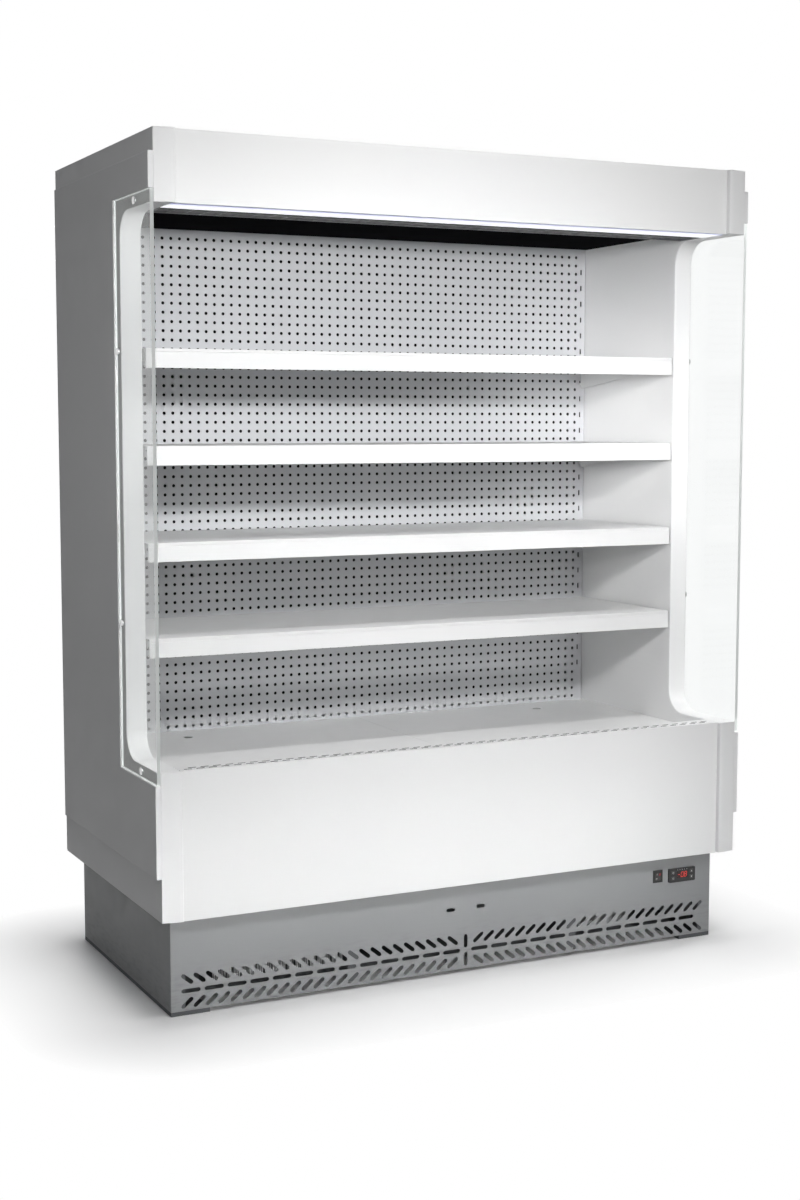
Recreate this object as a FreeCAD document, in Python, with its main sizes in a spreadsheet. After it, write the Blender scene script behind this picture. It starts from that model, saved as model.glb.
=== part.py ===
import FreeCAD, Part
import math
import os

import Sketcher

# Multideck chiller: an open-front refrigerated wall display on a ventilated plinth.
# Frame: +X right seen from the front, -Y front, +Z up, origin on the floor under the
# middle of the overall box. All lengths are in millimetres.

DOCUMENT = FreeCAD.newDocument("multideck_chiller")

SIZES = [
    # Overall cabinet
    ("core_width", 1570.0),
    ("depth", 774.0),
    ("height", 1988.0),
    ("body_bottom", 236.0),
    ("sheet", 1.5),
    ("insulation", 40.0),
    ("cut_overrun", 5.0),
    # Shoulders with their front windows
    ("shoulder_thick", 50.0),
    ("sill_top", 578.0),
    ("canopy_height", 159.0),
    ("window_depth", 232.0),
    ("window_corner", 60.0),
    ("shoulder_edge", 3.0),
    ("shoulder_flat", 10.0),
    ("shoulder_cant", 6.0),
    # Outer side covers
    ("cover_thick", 12.0),
    ("cover_foot", 101.0),
    ("cover_head", 51.0),
    ("cover_tail", 30.0),
    ("cover_edge", 1.5),
    # Side glass and its studs
    ("glass_thick", 8.0),
    ("glass_lap", 27.0),
    ("glass_gap", 2.0),
    ("glass_hole_radius", 4.5),
    ("stud_radius", 4.0),
    ("stud_head_radius", 9.0),
    ("stud_head", 2.0),
    # Plinth panels
    ("plinth_width", 1500.0),
    ("plinth_front_setback", 56.0),
    ("plinth_rear_setback", 33.0),
    ("plinth_return", 22.0),
    ("skid_width", 95.0),
    ("skid_height", 10.0),
    ("skid_sheet", 3.0),
    # Base frame
    ("beam_depth", 30.0),
    ("beam_height", 30.0),
    ("beam_wall", 2.0),
    ("post_width", 34.0),
    ("strap_width", 30.0),
    ("strap_thick", 3.0),
    ("strap_place", 305.0),
    ("strap_foot", 20.0),
    # Herringbone grille in the plinth front
    ("slot_width", 10.0),
    ("slot_run", 20.0),
    ("slot_rise", 16.0),
    ("slot_pitch", 30.0),
    ("slots_left", 24),
    ("slots_right", 23),
    ("grille_centre", 16.0),
    ("grille_middle", 56.5),
    ("row_offset", 20.0),
    ("first_slot", 26.0),
    ("dash_length", 38.0),
    ("dash_pitch", 56.5),
    ("dashes_left", 13),
    ("dashes_right", 12),
    ("first_dash", 20.0),
    ("spine_length", 25.0),
    ("spine_offset", 10.0),
    ("finger_slot_length", 16.0),
    ("finger_slot_width", 9.0),
    ("finger_slot_spread", 84.0),
    ("finger_slot_height", 162.0),
    # Rear plinth vents
    ("vent_length", 180.0),
    ("vent_width", 8.0),
    ("vent_pitch", 24.0),
    ("vents", 6),
    ("vent_base", 60.0),
    ("vent_place", 380.0),
    # Refrigerated well
    ("well_wall_top", 520.0),
    ("line_hole_fit", 0.3),
    ("line_hole_place", 700.0),
    ("line_hole_gap", 30.0),
    ("drain_place", 430.0),
    ("drain_back", 60.0),
    ("drain_radius", 16.0),
    ("drain_wall", 3.0),
    ("drain_flange", 26.0),
    ("drain_flange_thick", 2.0),
    ("drain_end", 62.0),
    # Lower front panel and return air grille
    ("panel_recess", 12.0),
    ("panel_end_gap", 0.5),
    ("panel_lip", 10.0),
    ("panel_foot", 18.0),
    ("panel_lift", 1.0),
    ("sill_depth", 53.0),
    ("sill_gap", 0.5),
    ("deck_ledge", 14.0),
    ("return_slot_length", 20.0),
    ("return_slot_width", 6.0),
    ("return_slot_pitch", 30.0),
    ("return_slots", 48),
    ("return_row_front", 16.0),
    ("return_row_gap", 14.0),
    # Deck trays
    ("deck_top", 549.0),
    ("deck_gap", 1.0),
    ("deck_flange", 20.0),
    ("deck_flange_setback", 24.0),
    ("deck_rear_gap", 10.0),
    ("finger_radius", 12.5),
    ("finger_place", 520.0),
    ("finger_back", 180.0),
    # Perforated back panel and uprights
    ("back_panel_front", 284.5),
    ("back_panel_gap", 2.0),
    ("back_ledge", 25.0),
    ("upright_width", 28.0),
    ("upright_gap", 2.0),
    ("hook_place", 719.0),
    ("hook_slot_width", 4.5),
    ("hook_slot_height", 14.0),
    ("hooks_per_shelf", 5),
    ("hook_slots", 26),
    ("hook_slots_below", 4),
    # Canopy
    ("ceiling_rise", 17.0),
    ("ceiling_upstand", 30.0),
    ("fascia_lip", 15.0),
    ("fascia_top_lip", 25.0),
    ("lamp_width", 80.0),
    ("lamp_height", 34.0),
    ("diffuser_thick", 2.0),
    ("led_width", 14.0),
    ("led_height", 5.0),
    ("led_end_gap", 40.0),
    ("outlet_depth", 100.0),
    ("outlet_height", 18.0),
    ("outlet_frame", 5.0),
    ("outlet_web", 3.0),
    ("outlet_columns", 36),
    ("outlet_rows", 2),
    # Shelves
    ("shelf_setback", 230.0),
    ("shelves", 4),
    ("shelf_lowest_top", 850.0),
    ("top_bay_share", 1.3511),
    ("shelf_sheet", 1.2),
    ("shelf_end_gap", 8.0),
    ("shelf_lip", 42.0),
    ("shelf_lip_return", 12.0),
    ("shelf_rear_gap", 14.0),
    ("shelf_rear_lip", 16.0),
    ("arm_thick", 3.0),
    ("arm_rear_gap", 8.5),
    ("arm_rear_height", 75.0),
    ("arm_front_height", 26.0),
    ("arm_front_setback", 36.0),
    ("hook_drop", 20.0),
    ("hook_fit", 0.3),
    ("hook_tongue", 7.0),
    ("hook_nose", 17.0),
    ("hook_thick", 4.0),
    ("hook_clear", 0.5),
    ("rail_thick", 2.0),
    ("rail_height", 45.0),
    ("rail_depth", 4.0),
    ("rail_groove", 7.0),
    ("rail_groove_width", 2.0),
    # Evaporator and its fans
    ("coil_length", 1240.0),
    ("coil_depth", 230.0),
    ("coil_height", 150.0),
    ("coil_front", -40.0),
    ("coil_lift", 30.0),
    ("coil_plate", 3.0),
    ("coil_fins", 25),
    ("coil_fin_gap", 6.0),
    ("coil_fin_depth", 8.0),
    ("coil_tube_radius", 6.0),
    ("coil_tube_rows", 4),
    ("fan_plate_place", -110.0),
    ("fan_plate_gap", 6.0),
    ("fan_plate_foot", 24.0),
    ("fan_spread", 440.0),
    ("fan_height", 405.0),
    ("fan_hole_radius", 104.0),
    ("fan_hub_radius", 36.0),
    ("fan_hub_depth", 24.0),
    ("fan_blade_reach", 92.0),
    ("fan_blade_root", 44.0),
    ("fan_blade_tip", 70.0),
    ("fan_blade_thick", 2.0),
    ("fan_blades", 5),
    ("fan_motor_radius", 32.0),
    ("fan_motor_depth", 50.0),
    ("fan_strap_width", 16.0),
    ("fan_strap_thick", 2.0),
    ("fan_strap_lap", 20.0),
    ("fan_shaft_radius", 4.0),
    ("fan_shaft_fit", 0.05),
    ("fan_hub_gap", 12.0),
    # Condensing unit
    ("machine_tray_width", 1380.0),
    ("machine_tray_front", -236.0),
    ("machine_tray_depth", 540.0),
    ("machine_tray_sheet", 2.0),
    ("machine_tray_lip", 22.0),
    ("condenser_place", -440.0),
    ("condenser_width", 340.0),
    ("condenser_height", 176.0),
    ("condenser_depth", 60.0),
    ("condenser_setback", 10.0),
    ("condenser_fins", 17),
    ("shroud_depth", 34.0),
    ("shroud_hole_radius", 84.0),
    ("condenser_blade_reach", 72.0),
    ("condenser_motor_depth", 60.0),
    ("motor_stand_width", 40.0),
    ("motor_stand_thick", 4.0),
    ("compressor_place", -60.0),
    ("line_tube_row", 2.5),
    ("compressor_radius", 78.0),
    ("compressor_height", 168.0),
    ("compressor_dome", 44.0),
    ("compressor_crown", 40.0),
    ("compressor_seam", 5.0),
    ("compressor_seam_thick", 6.0),
    ("compressor_foot_width", 230.0),
    ("compressor_foot_depth", 130.0),
    ("compressor_foot_thick", 3.0),
    ("compressor_foot_lift", 10.0),
    ("grommet_radius", 12.0),
    ("grommet_inset", 20.0),
    ("terminal_width", 56.0),
    ("terminal_depth", 30.0),
    ("terminal_height", 60.0),
    ("pan_width", 380.0),
    ("pan_depth", 250.0),
    ("pan_height", 44.0),
    ("pan_wall", 2.0),
    ("line_radius", 5.0),
    ("line_height", 120.0),
    ("line_spacing", 30.0),
    ("box_place", 480.0),
    ("box_width", 160.0),
    ("box_depth", 90.0),
    ("box_height", 110.0),
    ("box_lid", 8.0),
    ("box_lid_overhang", 3.0),
    # Switch
    ("switch_place", 584.5),
    ("switch_height", 177.0),
    ("switch_width", 29.0),
    ("switch_tall", 33.0),
    ("switch_bezel", 3.0),
    ("switch_wall", 2.5),
    ("switch_depth", 26.0),
    ("switch_flange", 2.0),
    ("switch_well", 10.0),
    ("rocker_gap", 0.8),
    ("rocker_tilt", 8.0),
    ("rocker_thick", 5.0),
    ("rocker_rise", 1.7),
    ("rocker_pin_radius", 1.5),
    ("rocker_pin_fit", 0.05),
    ("rocker_pin_reach", 1.5),
    ("rocker_pin_sink", 3.0),
    # Controller
    ("controller_place", 658.0),
    ("controller_height", 174.5),
    ("controller_width", 82.0),
    ("controller_tall", 37.0),
    ("controller_bezel", 6.0),
    ("controller_corner", 3.0),
    ("controller_margin", 5.0),
    ("controller_depth", 52.0),
    ("window_width", 36.0),
    ("window_tall", 18.0),
    ("window_sink", 1.0),
    ("window_rise", 1.0),
    ("key_width", 10.0),
    ("key_tall", 9.0),
    ("key_thick", 4.0),
    ("key_stand", 1.0),
    ("key_gap", 0.2),
    ("key_pocket", 5.0),
    ("key_spread", 29.0),
    ("key_rise", 7.5),
]

# Heights and places along the cabinet, as shares of what carries them
STUD_HEIGHT_SHARES = (0.25, 0.75)
STUD_DEPTH_SHARE = 0.5
SLOT_END_ANGLES = (-90, -30, 30, 90)
KEY_NAMES = (("set_key", -1, 1), ("power_key", -1, -1), ("up_key", 1, 1), ("down_key", 1, -1))


class Size:
    """A length or count that carries its sheet formula along with its value."""

    def __init__(self, text, value):
        self.text = text
        self.value = value

    def joined(self, sign, other, value):
        """Return the size that joins two sizes or a size and a plain count."""
        tail = other.text if isinstance(other, Size) else str(other)
        return Size(f"({self.text} {sign} {tail})", value)

    def __add__(self, other):
        return self.joined("+", other, self.value + plain(other))

    def __sub__(self, other):
        return self.joined("-", other, self.value - plain(other))

    def __mul__(self, other):
        return self.joined("*", other, self.value * plain(other))

    def __truediv__(self, other):
        return self.joined("/", other, self.value / plain(other))

    def __neg__(self):
        return Size(f"(0 - {self.text})", -self.value)

    def root(self):
        """Return the square root."""
        return Size(f"sqrt({self.text})", math.sqrt(self.value))


class Sheet:
    """The sheet of driving sizes, read as attributes."""

    def __init__(self, rows):
        self.cells = DOCUMENT.addObject("Spreadsheet::Sheet", "sizes")
        self.values = dict(rows)
        for number, (alias, value) in enumerate(rows, start=1):
            self.cells.set(f"A{number}", alias)
            self.cells.set(f"B{number}", str(value))
            self.cells.setAlias(f"B{number}", alias)
        DOCUMENT.recompute()

    def __getattr__(self, alias):
        return Size(f"sizes.{alias}", self.values[alias])


def plain(number):
    """Return the value of a size or of a plain number."""
    return number.value if isinstance(number, Size) else number


S = Sheet(SIZES)
ZERO = Size("0", 0.0)
NODES = {}

# Planes that several pieces share
FRONT = -(S.depth / 2)
BACK = S.depth / 2
WALL = S.core_width / 2 - S.shoulder_thick
CORE = S.core_width / 2
FACE = FRONT + S.panel_recess
OUTER_FRONT = FRONT + S.shoulder_cant
JAMB = FRONT + S.window_depth
PLINTH = S.plinth_width / 2
PLINTH_FRONT = FRONT + S.plinth_front_setback
PLINTH_BACK = BACK - S.plinth_rear_setback
REAR_WALL = BACK - S.insulation
WELL_FLOOR = S.body_bottom + S.insulation
ROOF_TOP = S.height - S.sheet
ROOF_BOTTOM = ROOF_TOP - S.insulation
PANEL_HALF = WALL - S.panel_end_gap
DECK_SEAT = S.deck_top - S.sheet
SILL_BACK = FACE + S.sill_depth
PANEL_BACK = S.back_panel_front + S.sheet
WEB_BACK = PANEL_BACK + S.sheet
LAMP_FRONT = FACE + S.fascia_lip
LAMP_BACK = LAMP_FRONT + S.lamp_width
OUTLET_BACK = LAMP_BACK + S.outlet_depth
BEAM_FOOT = S.body_bottom - S.beam_height
MACHINE_FLOOR = S.skid_height + S.machine_tray_sheet
CANOPY_BOTTOM = S.height - S.canopy_height
CEILING = CANOPY_BOTTOM + S.ceiling_rise
SHELF_PITCH = (CANOPY_BOTTOM - S.shelf_lowest_top) / (S.shelves - 1 + S.top_bay_share)
HOOK_PITCH = SHELF_PITCH / S.hooks_per_shelf
LOWEST_HOOK = S.shelf_lowest_top - S.hook_drop - HOOK_PITCH * S.hook_slots_below
COIL_LOW = WELL_FLOOR + S.coil_lift
COIL_TUBES = (COIL_LOW + S.coil_height / 4, COIL_LOW + S.coil_height * 3 / 4)
LINE_BACK = S.coil_front + S.coil_depth / S.coil_tube_rows * S.line_tube_row


def keep(label, item):
    """Name a finished sub-part and set it aside for writing."""
    item.Label = label
    NODES[label] = item
    return item


def bind(item, **sizes):
    """Bind properties of an object to sizes."""
    for name, size in sizes.items():
        item.setExpression(name, size.text)


def place(item, x=ZERO, y=ZERO, z=ZERO, turn=None):
    """Bind an object's place, after an optional turn about its own origin."""
    if turn is not None:
        item.Placement = FreeCAD.Placement(FreeCAD.Vector(), turn)
    for axis, size in (("x", x), ("y", y), ("z", z)):
        item.setExpression(f"Placement.Base.{axis}", size.text)
    return item


def mirrored(side, inner, outer):
    """Return the low and high of a span on the right (1) or left (-1) side."""
    return (inner, outer) if side > 0 else (-outer, -inner)


def box(name, x, y, z):
    """Make a block from its low and high along each axis."""
    item = DOCUMENT.addObject("Part::Box", name)
    bind(item, Length=x[1] - x[0], Width=y[1] - y[0], Height=z[1] - z[0])
    return place(item, x[0], y[0], z[0])


TURN_TO = {
    "x": FreeCAD.Rotation(FreeCAD.Vector(0, 1, 0), 90),
    "y": FreeCAD.Rotation(FreeCAD.Vector(1, 0, 0), -90),
    "z": FreeCAD.Rotation(),
}


def rod(name, along, radius, length, x, y, z):
    """Make a cylinder that starts at a point and runs along one axis."""
    item = DOCUMENT.addObject("Part::Cylinder", name)
    bind(item, Radius=radius, Height=length)
    return place(item, x, y, z, TURN_TO[along])


def cut(name, base, tools):
    """Cut tools out of a base shape."""
    item = DOCUMENT.addObject("Part::Cut", name)
    item.Base = base
    item.Tool = tools[0] if len(tools) == 1 else group(name + "_tools", tools, "Part::MultiFuse")
    return item


def group(name, shapes, kind="Part::Compound"):
    """Gather shapes as a compound, or as one solid with kind Part::MultiFuse."""
    item = DOCUMENT.addObject(kind, name)
    if kind == "Part::Compound":
        item.Links = shapes
    else:
        item.Shapes = shapes
    return item


class Solid:
    """A PartDesign body built from sketches on its own origin planes."""

    def __init__(self, label):
        self.body = DOCUMENT.addObject("PartDesign::Body", label)
        self.label = label
        self.count = 0

    def feature(self, kind, name):
        """Add a feature with a name of its own."""
        self.count += 1
        return self.body.newObject(kind, f"{self.label}_{name}{self.count}")

    def sketch(self, plane, offset=ZERO):
        """Add a sketch on an origin plane, moved along the plane's normal."""
        item = self.feature("Sketcher::SketchObject", "sketch")
        role = [part for part in self.body.Origin.OriginFeatures if part.Role == plane]
        item.AttachmentSupport = [(role[0], "")]
        item.MapMode = "FlatFace"
        item.setExpression("AttachmentOffset.Base.z", offset.text)
        return item

    def pad(self, plane, low, high, *outlines):
        """Add outlines as a pad from low to high along the plane's axis."""
        offset = -high if plane == "XZ_Plane" else low
        sketch = self.sketch(plane, offset)
        for outline in outlines:
            outline(sketch)
        item = self.feature("PartDesign::Pad", "pad")
        item.Profile = sketch
        bind(item, Length=high - low)
        DOCUMENT.recompute()
        return item

    def turn(self, plane, outline):
        """Turn an outline right round the plane's upright axis."""
        sketch = self.sketch(plane)
        outline(sketch)
        item = self.feature("PartDesign::Revolution", "turn")
        item.Profile = sketch
        item.ReferenceAxis = (sketch, ["V_Axis"])
        item.Angle = 360
        DOCUMENT.recompute()
        return item

    def pocket(self, plane, low, high, *outlines):
        """Cut outlines from low to high along the plane's axis."""
        offset = -low if plane == "XZ_Plane" else high
        sketch = self.sketch(plane, offset)
        for outline in outlines:
            outline(sketch)
        item = self.feature("PartDesign::Pocket", "pocket")
        item.Profile = sketch
        bind(item, Length=high - low)
        before = self.body.Shape.Volume
        DOCUMENT.recompute()
        if not item.Shape.Volume < before:
            raise RuntimeError(f"{item.Label} cuts nothing")
        return item, sketch

    def row(self, source, sketch, pitch, count, axis="H_Axis", reverse=False):
        """Repeat a feature along an axis of its sketch."""
        item = self.feature("PartDesign::LinearPattern", "row")
        item.Originals = [source]
        item.Direction = (sketch, [axis])
        item.Reversed = reverse
        bind(item, Length=pitch * (count - 1), Occurrences=count)
        self.body.Tip = item
        DOCUMENT.recompute()
        return item

    def round(self, base, radius, wanted):
        """Fillet the edges of a feature that a test picks."""
        item = self.feature("PartDesign::Fillet", "fillet")
        edges = enumerate(base.Shape.Edges, start=1)
        item.Base = (base, [f"Edge{number}" for number, edge in edges if wanted(edge)])
        bind(item, Radius=radius)
        DOCUMENT.recompute()
        return item

    def done(self):
        """Keep the finished body under its label."""
        return keep(self.label, self.body)


def vector(point):
    """Return a sketch point's value."""
    return FreeCAD.Vector(plain(point[0]), plain(point[1]), 0)


def pin_point(sketch, geometry, end, point):
    """Bind one point of a sketch to two sizes."""
    for kind, size in zip(("DistanceX", "DistanceY"), point):
        number = sketch.addConstraint(Sketcher.Constraint(kind, -1, 1, geometry, end, size.value))
        sketch.setExpression(f"Constraints[{number}]", size.text)


def outline(*points):
    """Draw a closed outline of straight lines."""
    def draw(sketch):
        ends = points[1:] + points[:1]
        lines = []
        for start, end in zip(points, ends):
            lines.append(sketch.addGeometry(Part.LineSegment(vector(start), vector(end)), False))
        for line, following in zip(lines, lines[1:] + lines[:1]):
            sketch.addConstraint(Sketcher.Constraint("Coincident", line, 2, following, 1))
        for line, point in zip(lines, points):
            pin_point(sketch, line, 1, point)
    return draw


def rectangle(across, up):
    """Draw a rectangle from its two spans."""
    return outline((across[0], up[0]), (across[1], up[0]), (across[1], up[1]), (across[0], up[1]))


def circle(centre, radius):
    """Draw a circle."""
    def draw(sketch):
        shape = Part.Circle(vector(centre), FreeCAD.Vector(0, 0, 1), radius.value)
        round_line = sketch.addGeometry(shape, False)
        pin_point(sketch, round_line, 3, centre)
        number = sketch.addConstraint(Sketcher.Constraint("Radius", round_line, radius.value))
        sketch.setExpression(f"Constraints[{number}]", radius.text)
    return draw


def slot(start, end, width):
    """Draw a slot between two centres, with each round end as three flats."""
    run = end[0] - start[0]
    rise = end[1] - start[1]
    share = width / 2 / (run * run + rise * rise).root()
    points = []
    for centre, way in ((end, 1), (start, -1)):
        for angle in SLOT_END_ANGLES:
            along = round(math.cos(math.radians(angle)), 6) * way
            across = round(math.sin(math.radians(angle)), 6) * way
            points.append((
                centre[0] + (run * along - rise * across) * share,
                centre[1] + (run * across + rise * along) * share,
            ))
    return outline(*points)


def near(value, size):
    """Tell whether a coordinate lies on a size."""
    return abs(value - plain(size)) < plain(S.sheet) / 2


def lies(edge, axis, size):
    """Tell whether a whole edge lies on one coordinate plane."""
    return all(near(getattr(vertex.Point, axis), size) for vertex in edge.Vertexes)


def window_outline(lap):
    """Return the low, high and back of a side window, grown by a lap."""
    low = S.sill_top - lap
    high = CANOPY_BOTTOM + lap
    back = JAMB + lap
    return low, high, back


def shoulders():
    """Foam-filled side walls, each with a window open to the front."""
    for side, label in ((-1, "shoulder_left"), (1, "shoulder_right")):
        solid = Solid(label)
        low, high, jamb = window_outline(ZERO)
        spans = mirrored(side, WALL, CORE)
        base = solid.pad("YZ_Plane", *spans, outline(
            (FRONT, S.body_bottom), (BACK, S.body_bottom), (BACK, S.height), (FRONT, S.height),
            (FRONT, high), (jamb, high), (jamb, low), (FRONT, low),
        ))
        flat = (WALL + S.shoulder_flat) * side
        outer = CORE * side
        base, sketch = solid.pocket("XY_Plane", S.body_bottom, S.height, outline(
            (flat, FRONT), (outer, FRONT), (outer, OUTER_FRONT),
        ))
        base = solid.round(base, S.window_corner, lambda edge: (
            lies(edge, "y", jamb) and (lies(edge, "z", low) or lies(edge, "z", high))
        ))
        inner = WALL * side
        solid.round(base, S.shoulder_edge, lambda edge: (
            lies(edge, "x", inner) and edge.BoundBox.YMax < jamb.value + S.window_corner.value
            and not near(edge.BoundBox.ZMin, S.body_bottom) and not near(edge.BoundBox.ZMax, S.height)
            or lies(edge, "y", FRONT) and lies(edge, "x", inner)
        ))
        solid.done()


def side_covers():
    """Outer side skins, cut back round the glass."""
    for side, label in ((-1, "side_cover_left"), (1, "side_cover_right")):
        solid = Solid(label)
        low, high, jamb = window_outline(S.glass_lap + S.glass_gap)
        foot = S.body_bottom + S.cover_foot
        head = S.height - S.cover_head
        tail = BACK - S.cover_tail
        base = solid.pad("YZ_Plane", *mirrored(side, CORE, CORE + S.cover_thick), outline(
            (OUTER_FRONT, foot), (tail, foot), (tail, head), (OUTER_FRONT, head),
            (OUTER_FRONT, high), (jamb, high), (jamb, low), (OUTER_FRONT, low),
        ))
        outer = (CORE + S.cover_thick) * side
        solid.round(base, S.cover_edge, lambda edge: lies(edge, "x", outer))
        solid.done()


def stud_places():
    """Return the places of one pane's four studs, as depth and height pairs."""
    low, high, jamb = window_outline(ZERO)
    lap = S.glass_lap / 2
    middle = FRONT + S.window_depth * STUD_DEPTH_SHARE
    places = [(middle, low - lap), (middle, high + lap)]
    for share in STUD_HEIGHT_SHARES:
        places.append((jamb + lap, low + (high - low) * share))
    return places


def side_glasses():
    """Clear panes lapped over the windows, and the studs that hold them."""
    studs = []
    for side, label in ((-1, "side_glass_left"), (1, "side_glass_right")):
        solid = Solid(label)
        low, high, jamb = window_outline(S.glass_lap)
        spans = mirrored(side, CORE, CORE + S.glass_thick)
        solid.pad("YZ_Plane", *spans, rectangle((OUTER_FRONT, jamb), (low, high)))
        holes = [circle(point, S.glass_hole_radius) for point in stud_places()]
        solid.pocket("YZ_Plane", *spans, *holes)
        solid.done()
        for number, (y, z) in enumerate(stud_places(), start=1):
            shank_span = mirrored(side, CORE, CORE + S.glass_thick)
            head_span = mirrored(side, CORE + S.glass_thick, CORE + S.glass_thick + S.stud_head)
            shank = rod(f"{label}_shank{number}", "x", S.stud_radius, S.glass_thick, shank_span[0], y, z)
            head = rod(f"{label}_head{number}", "x", S.stud_head_radius, S.stud_head, head_span[0], y, z)
            studs.append(group(f"{label}_stud{number}", [shank, head], "Part::MultiFuse"))
    keep("glass_studs", group("glass_studs", studs))


def skids():
    """Folded runners under both ends of the plinth."""
    runners = []
    for side, label in ((-1, "skid_left"), (1, "skid_right")):
        inner, outer = mirrored(side, PLINTH - S.skid_width, PLINTH)
        plate = box(label + "_block", (inner, outer), (PLINTH_FRONT, PLINTH_BACK), (ZERO, S.skid_height))
        hollow = box(
            label + "_hollow", (inner + S.skid_sheet, outer - S.skid_sheet),
            (PLINTH_FRONT + S.skid_sheet, PLINTH_BACK - S.skid_sheet),
            (S.skid_sheet, S.skid_height + S.cut_overrun),
        )
        runners.append(cut(label, plate, [hollow]))
    return runners


def tube(name, x, y, z, along):
    """Make an open rectangular tube along x or z."""
    wall = S.beam_wall
    inner = {
        "x": ((x[0] - S.cut_overrun, x[1] + S.cut_overrun), (z[0] + wall, z[1] - wall)),
        "z": ((x[0] + wall, x[1] - wall), (z[0] - S.cut_overrun, z[1] + S.cut_overrun)),
    }[along]
    hollow = box(name + "_bore", inner[0], (y[0] + wall, y[1] - wall), inner[1])
    return cut(name, box(name + "_bar", x, y, z), [hollow])


BEAM_ROWS = (
    ("front", PLINTH_FRONT + S.sheet, PLINTH_FRONT + S.sheet + S.beam_depth),
    ("rear", PLINTH_BACK - S.sheet - S.beam_depth, PLINTH_BACK - S.sheet),
)


def base_frame():
    """Welded base: runners, corner posts, the beams that carry the well, and straps."""
    inside = PLINTH - S.sheet
    bars = skids() + grille_straps()
    for row, front, back in BEAM_ROWS:
        level = (BEAM_FOOT, S.body_bottom)
        bars.append(tube(f"{row}_beam", (-inside, inside), (front, back), level, "x"))
        for side, end in ((-1, "left"), (1, "right")):
            spans = mirrored(side, inside - S.post_width, inside)
            bars.append(tube(f"{row}_{end}_post", spans, (front, back), (S.skid_sheet, BEAM_FOOT), "z"))
    keep("base_frame", group("base_frame", bars))


def grille_straps():
    """Flat straps that hang from the front beam behind the grille."""
    straps = []
    front = PLINTH_FRONT + S.sheet
    for side, end in ((-1, "left"), (1, "right")):
        middle = S.grille_centre + S.strap_place * side
        spans = (middle - S.strap_width / 2, middle + S.strap_width / 2)
        straps.append(box(f"{end}_strap", spans, (front, front + S.strap_thick), (S.strap_foot, BEAM_FOOT)))
    return straps


def controls_openings():
    """Return the panel openings for the switch and the controller."""
    switch_half = S.switch_width / 2 - S.switch_bezel
    switch_rise = S.switch_tall / 2 - S.switch_bezel
    box_half = S.controller_width / 2 - S.controller_margin
    box_rise = S.controller_tall / 2 - S.controller_margin
    switch = (S.switch_place - switch_half, S.switch_place + switch_half)
    switch_level = (S.switch_height - switch_rise, S.switch_height + switch_rise)
    controller = (S.controller_place - box_half, S.controller_place + box_half)
    controller_level = (S.controller_height - box_rise, S.controller_height + box_rise)
    return (switch, switch_level), (controller, controller_level)


def plinth_grille():
    """Plinth front: a folded sheet with a herringbone of air slots."""
    solid = Solid("plinth_grille")
    back = PLINTH_FRONT + S.plinth_return
    inside = PLINTH - S.sheet
    solid.pad("XY_Plane", S.skid_height, S.body_bottom, outline(
        (-PLINTH, PLINTH_FRONT), (PLINTH, PLINTH_FRONT), (PLINTH, back), (inside, back),
        (inside, PLINTH_FRONT + S.sheet), (-inside, PLINTH_FRONT + S.sheet), (-inside, back), (-PLINTH, back),
    ))
    sheet_cut = ("XZ_Plane", PLINTH_FRONT, PLINTH_FRONT + S.sheet)
    for side, count in ((-1, S.slots_left), (1, S.slots_right)):
        inner = S.grille_centre + S.first_slot * side
        outer = inner + S.slot_run * side
        pair = []
        for way in (1, -1):
            near_row = S.grille_middle + S.row_offset * way
            pair.append(slot((inner, near_row), (outer, near_row + S.slot_rise * way), S.slot_width))
        pocket, sketch = solid.pocket(*sheet_cut, *pair)
        solid.row(pocket, sketch, S.slot_pitch, count, reverse=side < 0)
    for side, count in ((-1, S.dashes_left), (1, S.dashes_right)):
        inner = S.grille_centre + S.first_dash * side
        dash = slot((inner, S.grille_middle), (inner + S.dash_length * side, S.grille_middle), S.slot_width)
        pocket, sketch = solid.pocket(*sheet_cut, dash)
        solid.row(pocket, sketch, S.dash_pitch, count, reverse=side < 0)
    spines = []
    for way in (1, -1):
        start = S.grille_middle + S.spine_offset * way
        end = start + S.spine_length * way
        spines.append(slot((S.grille_centre, start), (S.grille_centre, end), S.slot_width))
    for side in (-1, 1):
        middle = S.grille_centre + S.finger_slot_spread / 2 * side
        ends = [(middle + S.finger_slot_length / 2 * way, S.finger_slot_height) for way in (-1, 1)]
        spines.append(slot(*ends, S.finger_slot_width))
    openings = [rectangle(*spans) for spans in controls_openings()]
    solid.pocket(*sheet_cut, *spines, *openings)
    solid.done()


def plinth_sides():
    """Plain end panels of the plinth."""
    panels = []
    for side, label in ((-1, "plinth_side_left"), (1, "plinth_side_right")):
        spans = mirrored(side, PLINTH - S.sheet, PLINTH)
        level = (S.skid_height, S.body_bottom)
        panels.append(box(label, spans, (PLINTH_FRONT + S.plinth_return, PLINTH_BACK), level))
    keep("plinth_sides", group("plinth_sides", panels))


def plinth_rear_panel():
    """Rear plinth panel with two groups of long vents."""
    solid = Solid("plinth_rear_panel")
    inside = PLINTH - S.sheet
    base = rectangle((-inside, inside), (S.skid_height, S.body_bottom))
    solid.pad("XZ_Plane", PLINTH_BACK - S.sheet, PLINTH_BACK, base)
    pair = []
    for side in (-1, 1):
        middle = S.vent_place * side
        ends = [(middle + S.vent_length / 2 * way, S.vent_base) for way in (-1, 1)]
        pair.append(slot(*ends, S.vent_width))
    pocket, sketch = solid.pocket("XZ_Plane", PLINTH_BACK - S.sheet, PLINTH_BACK, *pair)
    solid.row(pocket, sketch, S.vent_pitch, S.vents, axis="V_Axis")
    solid.done()


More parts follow.
